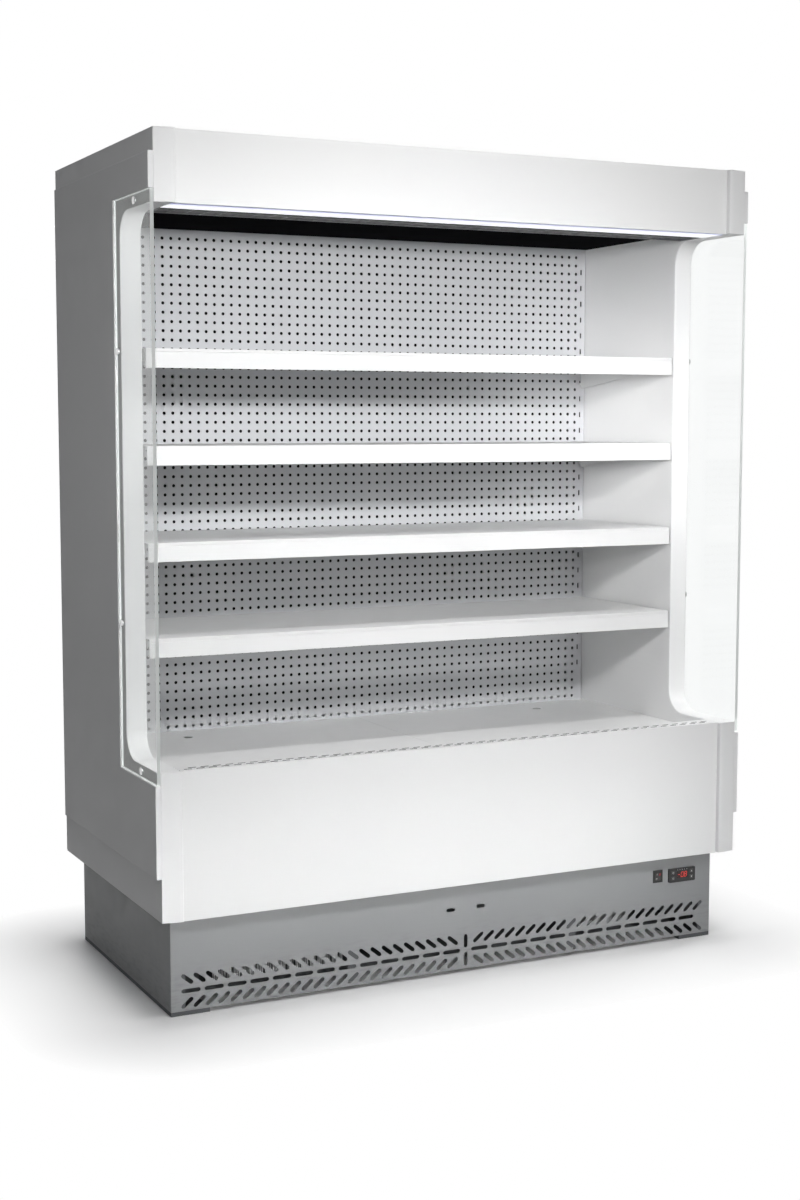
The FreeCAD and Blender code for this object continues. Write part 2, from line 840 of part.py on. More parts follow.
def line_holes():
    """Return the places of the two refrigerant lines through the well floor."""
    return (S.line_hole_place, LINE_BACK), (S.line_hole_place - S.line_hole_gap, LINE_BACK)


def well():
    """Insulated floor and front wall of the refrigerated well, with its drain."""
    floor = Solid("well_floor")
    front = FACE + S.sheet
    floor.pad("XY_Plane", S.body_bottom, WELL_FLOOR, rectangle((-WALL, WALL), (front, REAR_WALL)))
    drain = (S.drain_place, S.drain_back)
    holes = [circle(point, S.line_radius + S.line_hole_fit) for point in line_holes()]
    floor.pocket("XY_Plane", S.body_bottom, WELL_FLOOR, circle(drain, S.drain_radius), *holes)
    floor.done()
    wall = Solid("well_front")
    wall.pad("YZ_Plane", -WALL, WALL, rectangle((front, front + S.insulation), (WELL_FLOOR, S.well_wall_top)))
    wall.done()
    spout = Solid("drain_spout")
    spout.pad("XY_Plane", S.drain_end, WELL_FLOOR + S.drain_flange_thick, circle(drain, S.drain_radius))
    spout.pad(
        "XY_Plane", WELL_FLOOR, WELL_FLOOR + S.drain_flange_thick, circle(drain, S.drain_flange),
    )
    bore = circle(drain, S.drain_radius - S.drain_wall)
    spout.pocket("XY_Plane", S.drain_end, WELL_FLOOR + S.drain_flange_thick, bore)
    spout.done()


def lower_front_panel():
    """White front skin of the well, folded over at the sill."""
    solid = Solid("lower_front_panel")
    low = S.body_bottom - S.panel_lift
    lip = FACE + S.panel_lip
    foot = FACE + S.panel_foot
    skin = FACE + S.sheet
    solid.pad("YZ_Plane", -PANEL_HALF, PANEL_HALF, outline(
        (FACE, low - S.sheet), (foot, low - S.sheet), (foot, low), (skin, low),
        (skin, S.sill_top - S.sheet), (lip, S.sill_top - S.sheet), (lip, S.sill_top), (FACE, S.sill_top),
    ))
    solid.done()


def return_air_grille():
    """Slotted sill that takes the cold air back, with a ledge for the deck."""
    solid = Solid("return_air_grille")
    front = FACE + S.panel_lip + S.sill_gap
    ledge = SILL_BACK + S.deck_ledge
    inner = SILL_BACK - S.sheet
    top = S.sill_top
    under = top - S.sheet
    solid.pad("YZ_Plane", -WALL, WALL, outline(
        (front, S.well_wall_top), (front + S.sheet, S.well_wall_top), (front + S.sheet, under), (inner, under),
        (inner, DECK_SEAT - S.sheet), (ledge, DECK_SEAT - S.sheet), (ledge, DECK_SEAT), (SILL_BACK, DECK_SEAT),
        (SILL_BACK, top), (front, top),
    ))
    start = -(S.return_slot_pitch * (S.return_slots - 1) / 2)
    for row, shift in ((0, -1), (1, 1)):
        y = FACE + S.return_row_front + S.return_row_gap * row
        middle = start + S.return_slot_pitch / 4 * shift
        across = (middle - S.return_slot_length / 2, middle + S.return_slot_length / 2)
        spans = (y - S.return_slot_width / 2, y + S.return_slot_width / 2)
        pocket, sketch = solid.pocket("XY_Plane", under, top, rectangle(across, spans))
        solid.row(pocket, sketch, S.return_slot_pitch, S.return_slots)
    solid.done()


def deck_trays():
    """Two lift-out base plates with finger holes."""
    front = SILL_BACK + S.deck_gap
    back = S.back_panel_front - S.deck_rear_gap
    for side, label in ((-1, "deck_tray_left"), (1, "deck_tray_right")):
        solid = Solid(label)
        spans = mirrored(side, S.deck_gap / 2, WALL - S.deck_gap)
        solid.pad("XY_Plane", DECK_SEAT, S.deck_top, rectangle(spans, (front, back)))
        flange_run = (front + S.deck_flange_setback, back - S.deck_flange_setback)
        flanges = [
            rectangle((spans[0], spans[0] + S.sheet), flange_run),
            rectangle((spans[1] - S.sheet, spans[1]), flange_run),
        ]
        solid.pad("XY_Plane", DECK_SEAT - S.deck_flange, DECK_SEAT, *flanges)
        hole = circle((S.finger_place * side, S.finger_back), S.finger_radius)
        solid.pocket("XY_Plane", DECK_SEAT, S.deck_top, hole)
        solid.done()


def back_wall():
    """Insulated rear wall, perforated-panel sheet and slotted uprights."""
    wall = Solid("rear_wall")
    wall.pad("YZ_Plane", -WALL, WALL, rectangle((REAR_WALL, BACK), (S.body_bottom, ROOF_BOTTOM)))
    wall.done()
    half = WALL - S.back_panel_gap
    panel = Solid("back_panel")
    ledge = S.back_panel_front - S.back_ledge
    panel.pad("YZ_Plane", -half, half, outline(
        (ledge, DECK_SEAT - S.sheet), (PANEL_BACK, DECK_SEAT - S.sheet), (PANEL_BACK, CEILING),
        (S.back_panel_front, CEILING), (S.back_panel_front, DECK_SEAT), (ledge, DECK_SEAT),
    ))
    pair = [rectangle(hook_span(side), hook_level()) for side in (-1, 1)]
    pocket, sketch = panel.pocket("XZ_Plane", S.back_panel_front, PANEL_BACK, *pair)
    panel.row(pocket, sketch, HOOK_PITCH, S.hook_slots, axis="V_Axis")
    panel.done()
    uprights = [upright(-1, "upright_left"), upright(1, "upright_right")]
    keep("uprights", group("uprights", uprights))


def hook_span(side):
    """Return the width of a hook slot on one side."""
    middle = S.hook_place * side
    return middle - S.hook_slot_width / 2, middle + S.hook_slot_width / 2


def hook_level():
    """Return the height of the lowest hook slot."""
    return LOWEST_HOOK, LOWEST_HOOK + S.hook_slot_height


def upright(side, label):
    """Make one slotted upright, a channel open to the rear wall."""
    solid = Solid(label)
    spans = mirrored(side, WALL - S.upright_gap - S.upright_width, WALL - S.upright_gap)
    inner = (spans[0] + S.sheet, spans[1] - S.sheet)
    solid.pad("XY_Plane", DECK_SEAT, CEILING, outline(
        (spans[0], PANEL_BACK), (spans[1], PANEL_BACK), (spans[1], REAR_WALL), (inner[1], REAR_WALL),
        (inner[1], WEB_BACK), (inner[0], WEB_BACK), (inner[0], REAR_WALL), (spans[0], REAR_WALL),
    ))
    opening = rectangle(hook_span(side), hook_level())
    pocket, sketch = solid.pocket("XZ_Plane", PANEL_BACK, WEB_BACK, opening)
    solid.row(pocket, sketch, HOOK_PITCH, S.hook_slots, axis="V_Axis")
    return solid.body


def canopy():
    """Roof, fascia, lamp, air outlet and soffit of the canopy."""
    roof = Solid("roof_panel")
    roof.pad("YZ_Plane", -WALL, WALL, rectangle((FACE + S.sheet, BACK), (ROOF_BOTTOM, ROOF_TOP)))
    roof.done()
    fascia = Solid("canopy_fascia")
    lip = FACE + S.fascia_lip
    top_lip = FACE + S.fascia_top_lip
    skin = FACE + S.sheet
    fascia.pad("YZ_Plane", -PANEL_HALF, PANEL_HALF, outline(
        (FACE, CANOPY_BOTTOM), (lip, CANOPY_BOTTOM), (lip, CANOPY_BOTTOM + S.sheet),
        (skin, CANOPY_BOTTOM + S.sheet), (skin, ROOF_TOP), (top_lip, ROOF_TOP), (top_lip, S.height),
        (FACE, S.height),
    ))
    fascia.done()
    lamp()
    outlet()
    ceiling = Solid("ceiling_panel")
    top = CEILING + S.sheet
    ceiling.pad("YZ_Plane", -WALL, WALL, outline(
        (OUTLET_BACK, CEILING), (PANEL_BACK, CEILING), (PANEL_BACK, top),
        (OUTLET_BACK + S.sheet, top), (OUTLET_BACK + S.sheet, top + S.ceiling_upstand),
        (OUTLET_BACK, top + S.ceiling_upstand),
    ))
    ceiling.done()


def lamp():
    """Lamp channel behind the fascia with its opal diffuser and light strip."""
    floor = CANOPY_BOTTOM + S.diffuser_thick
    roof = floor + S.lamp_height
    housing = Solid("lamp_housing")
    housing.pad("YZ_Plane", -WALL, WALL, outline(
        (LAMP_FRONT, floor), (LAMP_FRONT + S.sheet, floor), (LAMP_FRONT + S.sheet, roof - S.sheet),
        (LAMP_BACK - S.sheet, roof - S.sheet), (LAMP_BACK - S.sheet, floor), (LAMP_BACK, floor),
        (LAMP_BACK, roof), (LAMP_FRONT, roof),
    ))
    housing.done()
    diffuser = Solid("lamp_diffuser")
    diffuser.pad("YZ_Plane", -WALL, WALL, rectangle((LAMP_FRONT, LAMP_BACK), (CANOPY_BOTTOM, floor)))
    diffuser.done()
    strip = Solid("led_strip")
    middle = (LAMP_FRONT + LAMP_BACK) / 2
    half = WALL - S.led_end_gap
    ceiling = roof - S.sheet
    spans = (middle - S.led_width / 2, middle + S.led_width / 2)
    strip.pad("YZ_Plane", -half, half, rectangle(spans, (ceiling - S.led_height, ceiling)))
    strip.done()


def outlet():
    """Cellular air outlet between the lamp and the soffit."""
    solid = Solid("air_outlet_grid")
    low = CANOPY_BOTTOM
    base = rectangle((-WALL, WALL), (LAMP_BACK, OUTLET_BACK))
    solid.pad("XY_Plane", low, low + S.outlet_height, base)
    pitch_x = (WALL * 2 - S.outlet_frame * 2 + S.outlet_web) / S.outlet_columns
    pitch_y = (S.outlet_depth - S.outlet_frame * 2 + S.outlet_web) / S.outlet_rows
    start = -WALL + S.outlet_frame
    cells = []
    for row in range(int(S.outlet_rows.value)):
        front = LAMP_BACK + S.outlet_frame + pitch_y * row
        cells.append(rectangle((start, start + pitch_x - S.outlet_web), (front, front + pitch_y - S.outlet_web)))
    pocket, sketch = solid.pocket("XY_Plane", low, low + S.outlet_height, *cells)
    solid.row(pocket, sketch, pitch_x, S.outlet_columns)
    solid.done()


def shelf(number):
    """One shelf with its two hooked arms, and the price rail on its front."""
    top = S.shelf_lowest_top + SHELF_PITCH * (number - 1)
    under = top - S.shelf_sheet
    front = FRONT + S.shelf_setback + S.rail_depth
    back = S.back_panel_front - S.shelf_rear_gap
    half = WALL - S.shelf_end_gap
    skin = front + S.shelf_sheet
    lip = top - S.shelf_lip
    lip_end = front + S.shelf_lip_return
    rear_lip = top - S.shelf_rear_lip
    solid = Solid(f"shelf_{number}")
    solid.pad("YZ_Plane", -half, half, outline(
        (front, lip), (lip_end, lip), (lip_end, lip + S.shelf_sheet), (skin, lip + S.shelf_sheet),
        (skin, under), (back - S.shelf_sheet, under), (back - S.shelf_sheet, rear_lip), (back, rear_lip),
        (back, top), (front, top),
    ))
    for side in (-1, 1):
        middle = S.hook_place * side
        spans = (middle - S.arm_thick / 2, middle + S.arm_thick / 2)
        solid.pad("YZ_Plane", *spans, arm_outline(top, under, front))
    solid.done()
    price_rail(number, top, front)


def arm_outline(top, under, front):
    """Draw a shelf arm: a tapered plate with a hook and a lower lug."""
    rear = S.back_panel_front - S.arm_rear_gap
    tip = front + S.arm_front_setback
    seat = top - S.hook_drop + S.hook_fit
    lug = seat - HOOK_PITCH
    nose = WEB_BACK + S.hook_clear
    nose_back = nose + S.hook_thick
    foot = top - S.arm_rear_height
    return outline(
        (tip, under), (tip, top - S.arm_front_height), (rear, foot), (rear, lug), (nose_back, lug),
        (nose_back, lug + S.hook_tongue), (rear, lug + S.hook_tongue), (rear, seat), (nose_back, seat),
        (nose_back, seat + S.hook_nose), (nose, seat + S.hook_nose), (nose, seat + S.hook_tongue),
        (rear, seat + S.hook_tongue), (rear, under),
    )


def price_rail(number, top, front):
    """Make a ticket rail: a thin channel with a groove near its top."""
    solid = Solid(f"price_rail_{number}")
    half = WALL - S.shelf_end_gap
    face = front - S.rail_depth
    skin = front - S.rail_thick
    groove = top - S.rail_groove
    low = top - S.rail_height
    solid.pad("YZ_Plane", -half, half, outline(
        (face, low), (front, low), (front, top), (face, top), (face, groove), (skin, groove),
        (skin, groove - S.rail_groove_width), (face, groove - S.rail_groove_width),
    ))
    solid.done()


def finned_block(label, x, y, z, fins):
    """Make a coil block with a row of fin gaps in its front and back."""
    solid = Solid(label)
    solid.pad("XY_Plane", *z, rectangle(x, y))
    pitch = (x[1] - x[0] - S.coil_fin_gap) / fins
    start = x[0] + pitch / 2
    gaps = (start, start + S.coil_fin_gap)
    cuts = [
        rectangle(gaps, (y[0] - S.cut_overrun, y[0] + S.coil_fin_depth)),
        rectangle(gaps, (y[1] - S.coil_fin_depth, y[1] + S.cut_overrun)),
    ]
    pocket, sketch = solid.pocket("XY_Plane", *z, *cuts)
    solid.row(pocket, sketch, pitch, fins)
    return solid


def evaporator():
    """Evaporator coil on its end plates, with tube bends at the right end."""
    half = S.coil_length / 2
    back = S.coil_front + S.coil_depth
    level = (COIL_LOW, COIL_LOW + S.coil_height)
    solid = finned_block("evaporator_coil", (-half, half), (S.coil_front, back), level, S.coil_fins)
    plate = [
        rectangle(mirrored(side, half, half + S.coil_plate), (S.coil_front, back)) for side in (-1, 1)
    ]
    solid.pad("XY_Plane", WELL_FLOOR, level[1], *plate)
    tubes = []
    pitch = S.coil_depth / S.coil_tube_rows
    for row in range(int(S.coil_tube_rows.value)):
        y = S.coil_front + pitch / 2 + pitch * row
        tubes.append(slot((y, COIL_TUBES[0]), (y, COIL_TUBES[1]), S.coil_tube_radius * 2))
    end = half + S.coil_plate
    solid.pad("YZ_Plane", end, end + S.coil_tube_radius * 2, *tubes)
    solid.done()


def fan_rotor(label, x, y, z, reach):
    """Make a fan rotor: a hub with pitched blades, turning about Y."""
    solid = Solid(label)
    half = S.fan_hub_depth / 2
    solid.pad("XZ_Plane", -half, half, circle((ZERO, ZERO), S.fan_hub_radius))
    blade = solid.sketch("XZ_Plane")
    blade.AttachmentOffset = FreeCAD.Placement(FreeCAD.Vector(), BLADE_TURN)
    root = S.fan_hub_radius - S.fan_blade_thick * 2
    outline(
        (root, -(S.fan_blade_root / 2)), (reach, -(S.fan_blade_tip / 2)), (reach, S.fan_blade_tip / 2),
        (root, S.fan_blade_root / 2),
    )(blade)
    pad = solid.feature("PartDesign::Pad", "pad")
    pad.Profile = blade
    pad.Midplane = True
    bind(pad, Length=S.fan_blade_thick)
    DOCUMENT.recompute()
    wheel = solid.feature("PartDesign::PolarPattern", "wheel")
    wheel.Originals = [pad]
    wheel.Axis = ([part for part in solid.body.Origin.OriginFeatures if part.Role == "Y_Axis"][0], [""])
    wheel.Angle = 360
    bind(wheel, Occurrences=S.fan_blades)
    solid.body.Tip = wheel
    DOCUMENT.recompute()
    solid.pocket("XZ_Plane", -half, half, circle((ZERO, ZERO), S.fan_shaft_radius + S.fan_shaft_fit))
    place(solid.body, x, y, z)
    solid.done()


BLADE_TURN = FreeCAD.Rotation(FreeCAD.Vector(1, 0, 0), 32)


def evaporator_fans():
    """Upright fan plate in front of the coil, with three motors and rotors."""
    plate_back = S.fan_plate_place + S.sheet
    middles = [S.fan_spread * step for step in (-1, 0, 1)]
    plate = Solid("fan_plate")
    top = DECK_SEAT - S.deck_flange - S.fan_plate_gap
    plate.pad("YZ_Plane", -WALL, WALL, outline(
        (S.fan_plate_place - S.fan_plate_foot, WELL_FLOOR), (plate_back, WELL_FLOOR), (plate_back, top),
        (S.fan_plate_place, top), (S.fan_plate_place, WELL_FLOOR + S.sheet),
        (S.fan_plate_place - S.fan_plate_foot, WELL_FLOOR + S.sheet),
    ))
    holes = [circle((x, S.fan_height), S.fan_hole_radius) for x in middles]
    plate.pocket("XZ_Plane", S.fan_plate_place, plate_back, *holes)
    plate.done()
    motors = []
    for x, place_name in zip(middles, ("left", "centre", "right")):
        motors.append(fan_motor(place_name, x))
        hub = S.fan_plate_place - S.fan_strap_thick + S.fan_hub_gap + S.fan_hub_depth / 2
        fan_rotor(f"evaporator_fan_{place_name}", x, hub, S.fan_height, S.fan_blade_reach)
    keep("evaporator_fan_motors", group("evaporator_fan_motors", motors))


def fan_motor(name, x):
    """Make one fan motor with its strap across the hole and its shaft."""
    strap_front = S.fan_plate_place - S.fan_strap_thick
    reach = S.fan_hole_radius + S.fan_strap_lap
    can = rod(
        f"motor_can_{name}", "y", S.fan_motor_radius, S.fan_motor_depth,
        x, strap_front - S.fan_motor_depth, S.fan_height,
    )
    strap = box(
        f"motor_strap_{name}", (x - reach, x + reach), (strap_front, S.fan_plate_place),
        (S.fan_height - S.fan_strap_width / 2, S.fan_height + S.fan_strap_width / 2),
    )
    shaft = rod(
        f"motor_shaft_{name}", "y", S.fan_shaft_radius, S.fan_hub_gap + S.fan_hub_depth,
        x, strap_front, S.fan_height,
    )
    return group(f"fan_motor_{name}", [can, strap, shaft], "Part::MultiFuse")


def machine_tray():
    """Folded tray that carries the condensing unit between the skids."""
    half = S.machine_tray_width / 2
    back = S.machine_tray_front + S.machine_tray_depth
    solid = Solid("machine_tray")
    sheet = S.machine_tray_sheet
    lip = S.skid_height + S.machine_tray_lip
    solid.pad("YZ_Plane", -half, half, outline(
        (S.machine_tray_front, S.skid_height), (back, S.skid_height), (back, lip), (back - sheet, lip),
        (back - sheet, MACHINE_FLOOR), (S.machine_tray_front + sheet, MACHINE_FLOOR),
        (S.machine_tray_front + sheet, lip), (S.machine_tray_front, lip),
    ))
    solid.done()


def condenser():
    """Condenser coil, its shroud, and the fan on a motor stand behind it."""
    x = S.condenser_place
    half = S.condenser_width / 2
    front = S.machine_tray_front + S.condenser_setback
    back = front + S.condenser_depth
    top = MACHINE_FLOOR + S.condenser_height
    finned_block(
        "condenser_coil", (x - half, x + half), (front, back), (MACHINE_FLOOR, top), S.condenser_fins,
    ).done()
    middle = MACHINE_FLOOR + S.condenser_height / 2
    shroud = Solid("condenser_shroud")
    depth = back + S.shroud_depth
    shroud.pad("XY_Plane", MACHINE_FLOOR, top, outline(
        (x - half, back), (x - half + S.sheet, back), (x - half + S.sheet, depth - S.sheet),
        (x + half - S.sheet, depth - S.sheet), (x + half - S.sheet, back), (x + half, back),
        (x + half, depth), (x - half, depth),
    ))
    hole = circle((x, middle), S.shroud_hole_radius)
    shroud.pocket("XZ_Plane", depth - S.sheet, depth, hole)
    shroud.done()
    hub = depth - S.sheet / 2
    fan_rotor("condenser_fan", x, hub, middle, S.condenser_blade_reach)
    can_front = hub + S.fan_hub_depth / 2 + S.fan_hub_gap
    can = rod("condenser_can", "y", S.fan_motor_radius, S.condenser_motor_depth, x, can_front, middle)
    reach = S.fan_hub_gap + S.fan_hub_depth
    shaft = rod("condenser_shaft", "y", S.fan_shaft_radius, reach, x, can_front - reach, middle)
    stand_half = S.motor_stand_width / 2
    stand_back = can_front + S.condenser_motor_depth
    stand = box(
        "motor_post", (x - stand_half, x + stand_half), (stand_back - S.motor_stand_thick, stand_back),
        (MACHINE_FLOOR, middle),
    )
    foot = box(
        "motor_foot", (x - stand_half, x + stand_half), (can_front, stand_back),
        (MACHINE_FLOOR, MACHINE_FLOOR + S.motor_stand_thick),
    )
    keep("condenser_fan_motor", group("condenser_fan_motor", [can, shaft, stand, foot], "Part::MultiFuse"))


def compressor():
    """Hermetic compressor: a turned can with a rolled seam, a footed plate and rubber mounts."""
    x = S.compressor_place
    plate = MACHINE_FLOOR + S.compressor_foot_lift
    low = plate + S.compressor_foot_thick
    high = low + S.compressor_height
    seam = (low + high) / 2
    seam_top = seam + S.compressor_seam_thick
    can = S.compressor_radius
    rim = can + S.compressor_seam
    dome = S.compressor_dome
    solid = Solid("compressor")
    solid.turn("XZ_Plane", outline(
        (ZERO, low), (can, low), (can, seam), (rim, seam), (rim, seam_top), (can, seam_top),
        (can, high - dome), (can - dome / 4, high - dome / 3), (S.compressor_crown, high), (ZERO, high),
    ))
    half = S.compressor_foot_width / 2
    rise = S.compressor_foot_depth / 2
    solid.pad("XY_Plane", plate, low, rectangle((-half, half), (-rise, rise)))
    cover = rectangle((-(S.terminal_width / 2), S.terminal_width / 2), (-(can + S.terminal_depth), ZERO))
    solid.pad("XY_Plane", seam - S.terminal_height, seam, cover)
    place(solid.body, x, LINE_BACK)
    solid.done()
    mounts = []
    for step in (-1, 1):
        for way in (-1, 1):
            mounts.append(rod(
                f"mount{len(mounts)}", "z", S.grommet_radius, S.compressor_foot_lift,
                x + (half - S.grommet_inset) * step, LINE_BACK + (rise - S.grommet_inset) * way, MACHINE_FLOOR,
            ))
    keep("compressor_mounts", group("compressor_mounts", mounts))


def condensate_tray():
    """Open pan that catches and evaporates the melt water."""
    solid = Solid("condensate_tray")
    half = S.pan_width / 2
    x = (S.drain_place - half, S.drain_place + half)
    y = (S.drain_back - S.pan_depth / 2, S.drain_back + S.pan_depth / 2)
    top = MACHINE_FLOOR + S.pan_height
    solid.pad("XY_Plane", MACHINE_FLOOR, top, rectangle(x, y))
    wall = S.pan_wall
    inside = rectangle((x[0] + wall, x[1] - wall), (y[0] + wall, y[1] - wall))
    solid.pocket("XY_Plane", MACHINE_FLOOR + wall, top, inside)
    solid.done()


def refrigerant_lines():
    """Two copper lines with brazed elbows, from the compressor up to the coil's tube ends."""
    start_x = S.compressor_place + S.compressor_radius
    tube_end = S.coil_length / 2 + S.coil_plate + S.coil_tube_radius * 2
    radius = S.line_radius
    lines = []
    for number, ((x, y), top) in enumerate(zip(line_holes(), reversed(COIL_TUBES))):
        level = S.line_height + S.line_spacing * number
        name = f"line_{number}"
        runs = [
            rod(name + "_supply", "x", radius, x + radius - start_x, start_x, y, level),
            rod(name + "_riser", "z", radius, top - level + radius * 2, x, y, level - radius),
            rod(name + "_feed", "x", radius, x + radius - tube_end, tube_end, y, top),
        ]
        lines.append(group(name, runs, "Part::MultiFuse"))
    keep("refrigerant_lines", group("refrigerant_lines", lines))


def electrical_box():
    """Control box with an overhanging lid on the machine tray."""
    x = (S.box_place - S.box_width / 2, S.box_place + S.box_width / 2)
    y = (S.machine_tray_front + S.machine_tray_sheet, S.machine_tray_front + S.machine_tray_sheet + S.box_depth)
    lid_low = MACHINE_FLOOR + S.box_height - S.box_lid
    over = S.box_lid_overhang
    solid = Solid("electrical_box")
    solid.pad("XY_Plane", MACHINE_FLOOR, lid_low, rectangle(x, y))
    lid = rectangle((x[0] - over, x[1] + over), (y[0], y[1] + over))
    solid.pad("XY_Plane", lid_low, lid_low + S.box_lid, lid)
    solid.done()


def switch():
    """Rocker switch: a bezel with a well behind the panel, and its rocker."""
    opening, level = controls_openings()[0]
    half = S.switch_width / 2
    rise = S.switch_tall / 2
    face = PLINTH_FRONT - S.switch_flange
    solid = Solid("switch_body")
    across = (S.switch_place - half, S.switch_place + half)
    up = (S.switch_height - rise, S.switch_height + rise)
    solid.pad("XZ_Plane", face, PLINTH_FRONT, rectangle(across, up))
    solid.pad("XZ_Plane", PLINTH_FRONT, PLINTH_FRONT + S.switch_depth, rectangle(opening, level))
    wall = S.switch_wall
    hollow = rectangle((opening[0] + wall, opening[1] - wall), (level[0] + wall, level[1] - wall))
    solid.pocket("XZ_Plane", face, face + S.switch_well, hollow)
    pivot = (face + S.rocker_pin_sink, S.switch_height)
    bore = circle(pivot, S.rocker_pin_radius + S.rocker_pin_fit)
    reach = S.rocker_pin_reach + S.rocker_pin_fit
    solid.pocket("YZ_Plane", opening[0] + wall - reach, opening[1] - wall + reach, bore)
    solid.done()
    rocker(opening, level, pivot)


def rocker(opening, level, pivot):
    """Make the rocker about its own pivot, then tip it to its on position."""
    wall = S.switch_wall
    half = (opening[1] - opening[0]) / 2 - wall - S.rocker_gap
    rise = (level[1] - level[0]) / 2 - wall - S.rocker_gap
    solid = Solid("rocker_switch")
    back = S.rocker_thick / 2
    front = -(S.rocker_pin_sink)
    solid.pad("YZ_Plane", -half, half, outline(
        (front - S.rocker_rise, -rise), (back, -rise), (back, rise), (front - S.rocker_rise, rise), (front, ZERO),
    ))
    reach = half + S.rocker_gap + S.rocker_pin_reach
    solid.pad("YZ_Plane", -reach, reach, circle((ZERO, ZERO), S.rocker_pin_radius))
    tilt = FreeCAD.Rotation(FreeCAD.Vector(1, 0, 0), S.rocker_tilt.value)
    place(solid.body, S.switch_place, pivot[0], pivot[1], tilt)
    solid.done()


def controller():
    """Temperature controller: bezel and housing, display window and four keys."""
    opening, level = controls_openings()[1]
    half = S.controller_width / 2
    rise = S.controller_tall / 2
    face = PLINTH_FRONT - S.controller_bezel
    solid = Solid("controller_body")
    across = (S.controller_place - half, S.controller_place + half)
    up = (S.controller_height - rise, S.controller_height + rise)
    base = solid.pad("XZ_Plane", face, PLINTH_FRONT, rectangle(across, up))
    solid.round(base, S.controller_corner, lambda edge: (
        (lies(edge, "x", across[0]) or lies(edge, "x", across[1]))
        and (lies(edge, "z", up[0]) or lies(edge, "z", up[1]))
    ))
    solid.pad("XZ_Plane", PLINTH_FRONT, PLINTH_FRONT + S.controller_depth, rectangle(opening, level))
    middle = S.controller_height + S.window_rise
    pane = (
        (S.controller_place - S.window_width / 2, S.controller_place + S.window_width / 2),
        (middle - S.window_tall / 2, middle + S.window_tall / 2),
    )
    solid.pocket("XZ_Plane", face, face + S.window_sink, rectangle(*pane))
    keys = []
    holes = []
    for name, step, way in KEY_NAMES:
        x = S.controller_place + S.key_spread * step
        z = S.controller_height + S.key_rise * way
        key = ((x - S.key_width / 2, x + S.key_width / 2), (z - S.key_tall / 2, z + S.key_tall / 2))
        keys.append((name, key))
        gap = S.key_gap
        holes.append(rectangle((key[0][0] - gap, key[0][1] + gap), (key[1][0] - gap, key[1][1] + gap)))
    solid.pocket("XZ_Plane", face, face + S.key_pocket, *holes)
    solid.done()
    window = Solid("controller_window")
    window.pad("XZ_Plane", face, face + S.window_sink, rectangle(*pane))
    window.done()
    for name, key in keys:
        cap = Solid(name)
        cap.pad("XZ_Plane", face - S.key_stand, face - S.key_stand + S.key_thick, rectangle(*key))
        cap.done()


def build():
    """Build every sub-part of the cabinet."""
    base_frame()
    machine_tray()
    plinth_grille()
    plinth_sides()
    plinth_rear_panel()
    well()
    lower_front_panel()
    return_air_grille()
    deck_trays()
    back_wall()
    canopy()
    shoulders()
    side_covers()
    side_glasses()
    for number in range(1, int(S.shelves.value) + 1):
        shelf(number)
    evaporator()
    evaporator_fans()
    condenser()
    compressor()
    condensate_tray()
    refrigerant_lines()
    electrical_box()
    switch()
    controller()


def check():
    """Stop unless every object is sound and every sub-part is a valid shape."""
    DOCUMENT.recompute()
    for item in DOCUMENT.Objects:
        if "Invalid" in item.State or "Error" in item.State:
            raise RuntimeError(f"{item.Label} failed to build: {item.State}")
    for label, item in NODES.items():
        if item.Shape.isNull() or not item.Shape.isValid() or not item.Shape.Solids:
            raise RuntimeError(f"{label} has no sound shape")


def write():
    """Write each sub-part to its own file."""
    os.makedirs("parts", exist_ok=True)
    for label, item in NODES.items():
        item.Shape.exportStep(f"parts/{label}.step")


build()
check()
write()
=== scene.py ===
"""Looks of the multideck chiller: finishes, punched back sheet, printed marks, display and studio."""

import logging
import math
from dataclasses import dataclass, field, replace
from enum import Enum
from itertools import product

import bmesh
import bpy
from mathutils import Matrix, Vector
from mathutils.bvhtree import BVHTree


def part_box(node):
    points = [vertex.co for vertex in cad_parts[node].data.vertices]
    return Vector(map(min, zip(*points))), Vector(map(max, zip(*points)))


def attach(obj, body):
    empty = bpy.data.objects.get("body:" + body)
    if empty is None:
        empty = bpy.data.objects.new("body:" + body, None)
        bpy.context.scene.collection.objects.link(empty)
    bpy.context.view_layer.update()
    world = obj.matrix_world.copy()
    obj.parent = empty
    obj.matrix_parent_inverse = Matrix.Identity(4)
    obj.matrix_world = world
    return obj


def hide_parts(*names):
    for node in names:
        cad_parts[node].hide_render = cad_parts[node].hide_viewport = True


logging.basicConfig(level=logging.INFO, format="%(name)s: %(message)s")
LOG = logging.getLogger("chiller")

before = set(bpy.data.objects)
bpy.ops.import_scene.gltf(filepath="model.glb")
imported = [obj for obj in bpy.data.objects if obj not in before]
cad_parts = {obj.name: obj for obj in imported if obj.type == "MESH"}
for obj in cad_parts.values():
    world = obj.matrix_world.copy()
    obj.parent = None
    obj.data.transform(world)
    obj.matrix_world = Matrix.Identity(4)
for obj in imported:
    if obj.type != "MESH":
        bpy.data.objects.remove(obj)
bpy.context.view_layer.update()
CABINET = "cabinet"

Colour = tuple[float, float, float]
Flat = tuple[float, float]
Place = tuple[float, float, float]

UNIT: Flat = (0.0, 1.0)
FALLING: Flat = (1.0, 0.0)
NOISE_RANGE: Flat = (0.3, 0.7)
FULL_TURN: Flat = (0.0, 360.0)
CORNERS = ((-1, -1), (1, -1), (1, 1), (-1, 1))
COMPASS = ((1, 0), (1, 1), (0, 1), (-1, 1), (-1, 0), (-1, -1), (0, -1), (1, -1))
BOX_FACES = ((0, 1, 3, 2), (4, 6, 7, 5), (0, 4, 5, 1), (2, 3, 7, 6), (0, 2, 6, 4), (1, 5, 7, 3))


def grey(value: float) -> Colour:
    """Gives a colour without hue."""
    return value, value, value


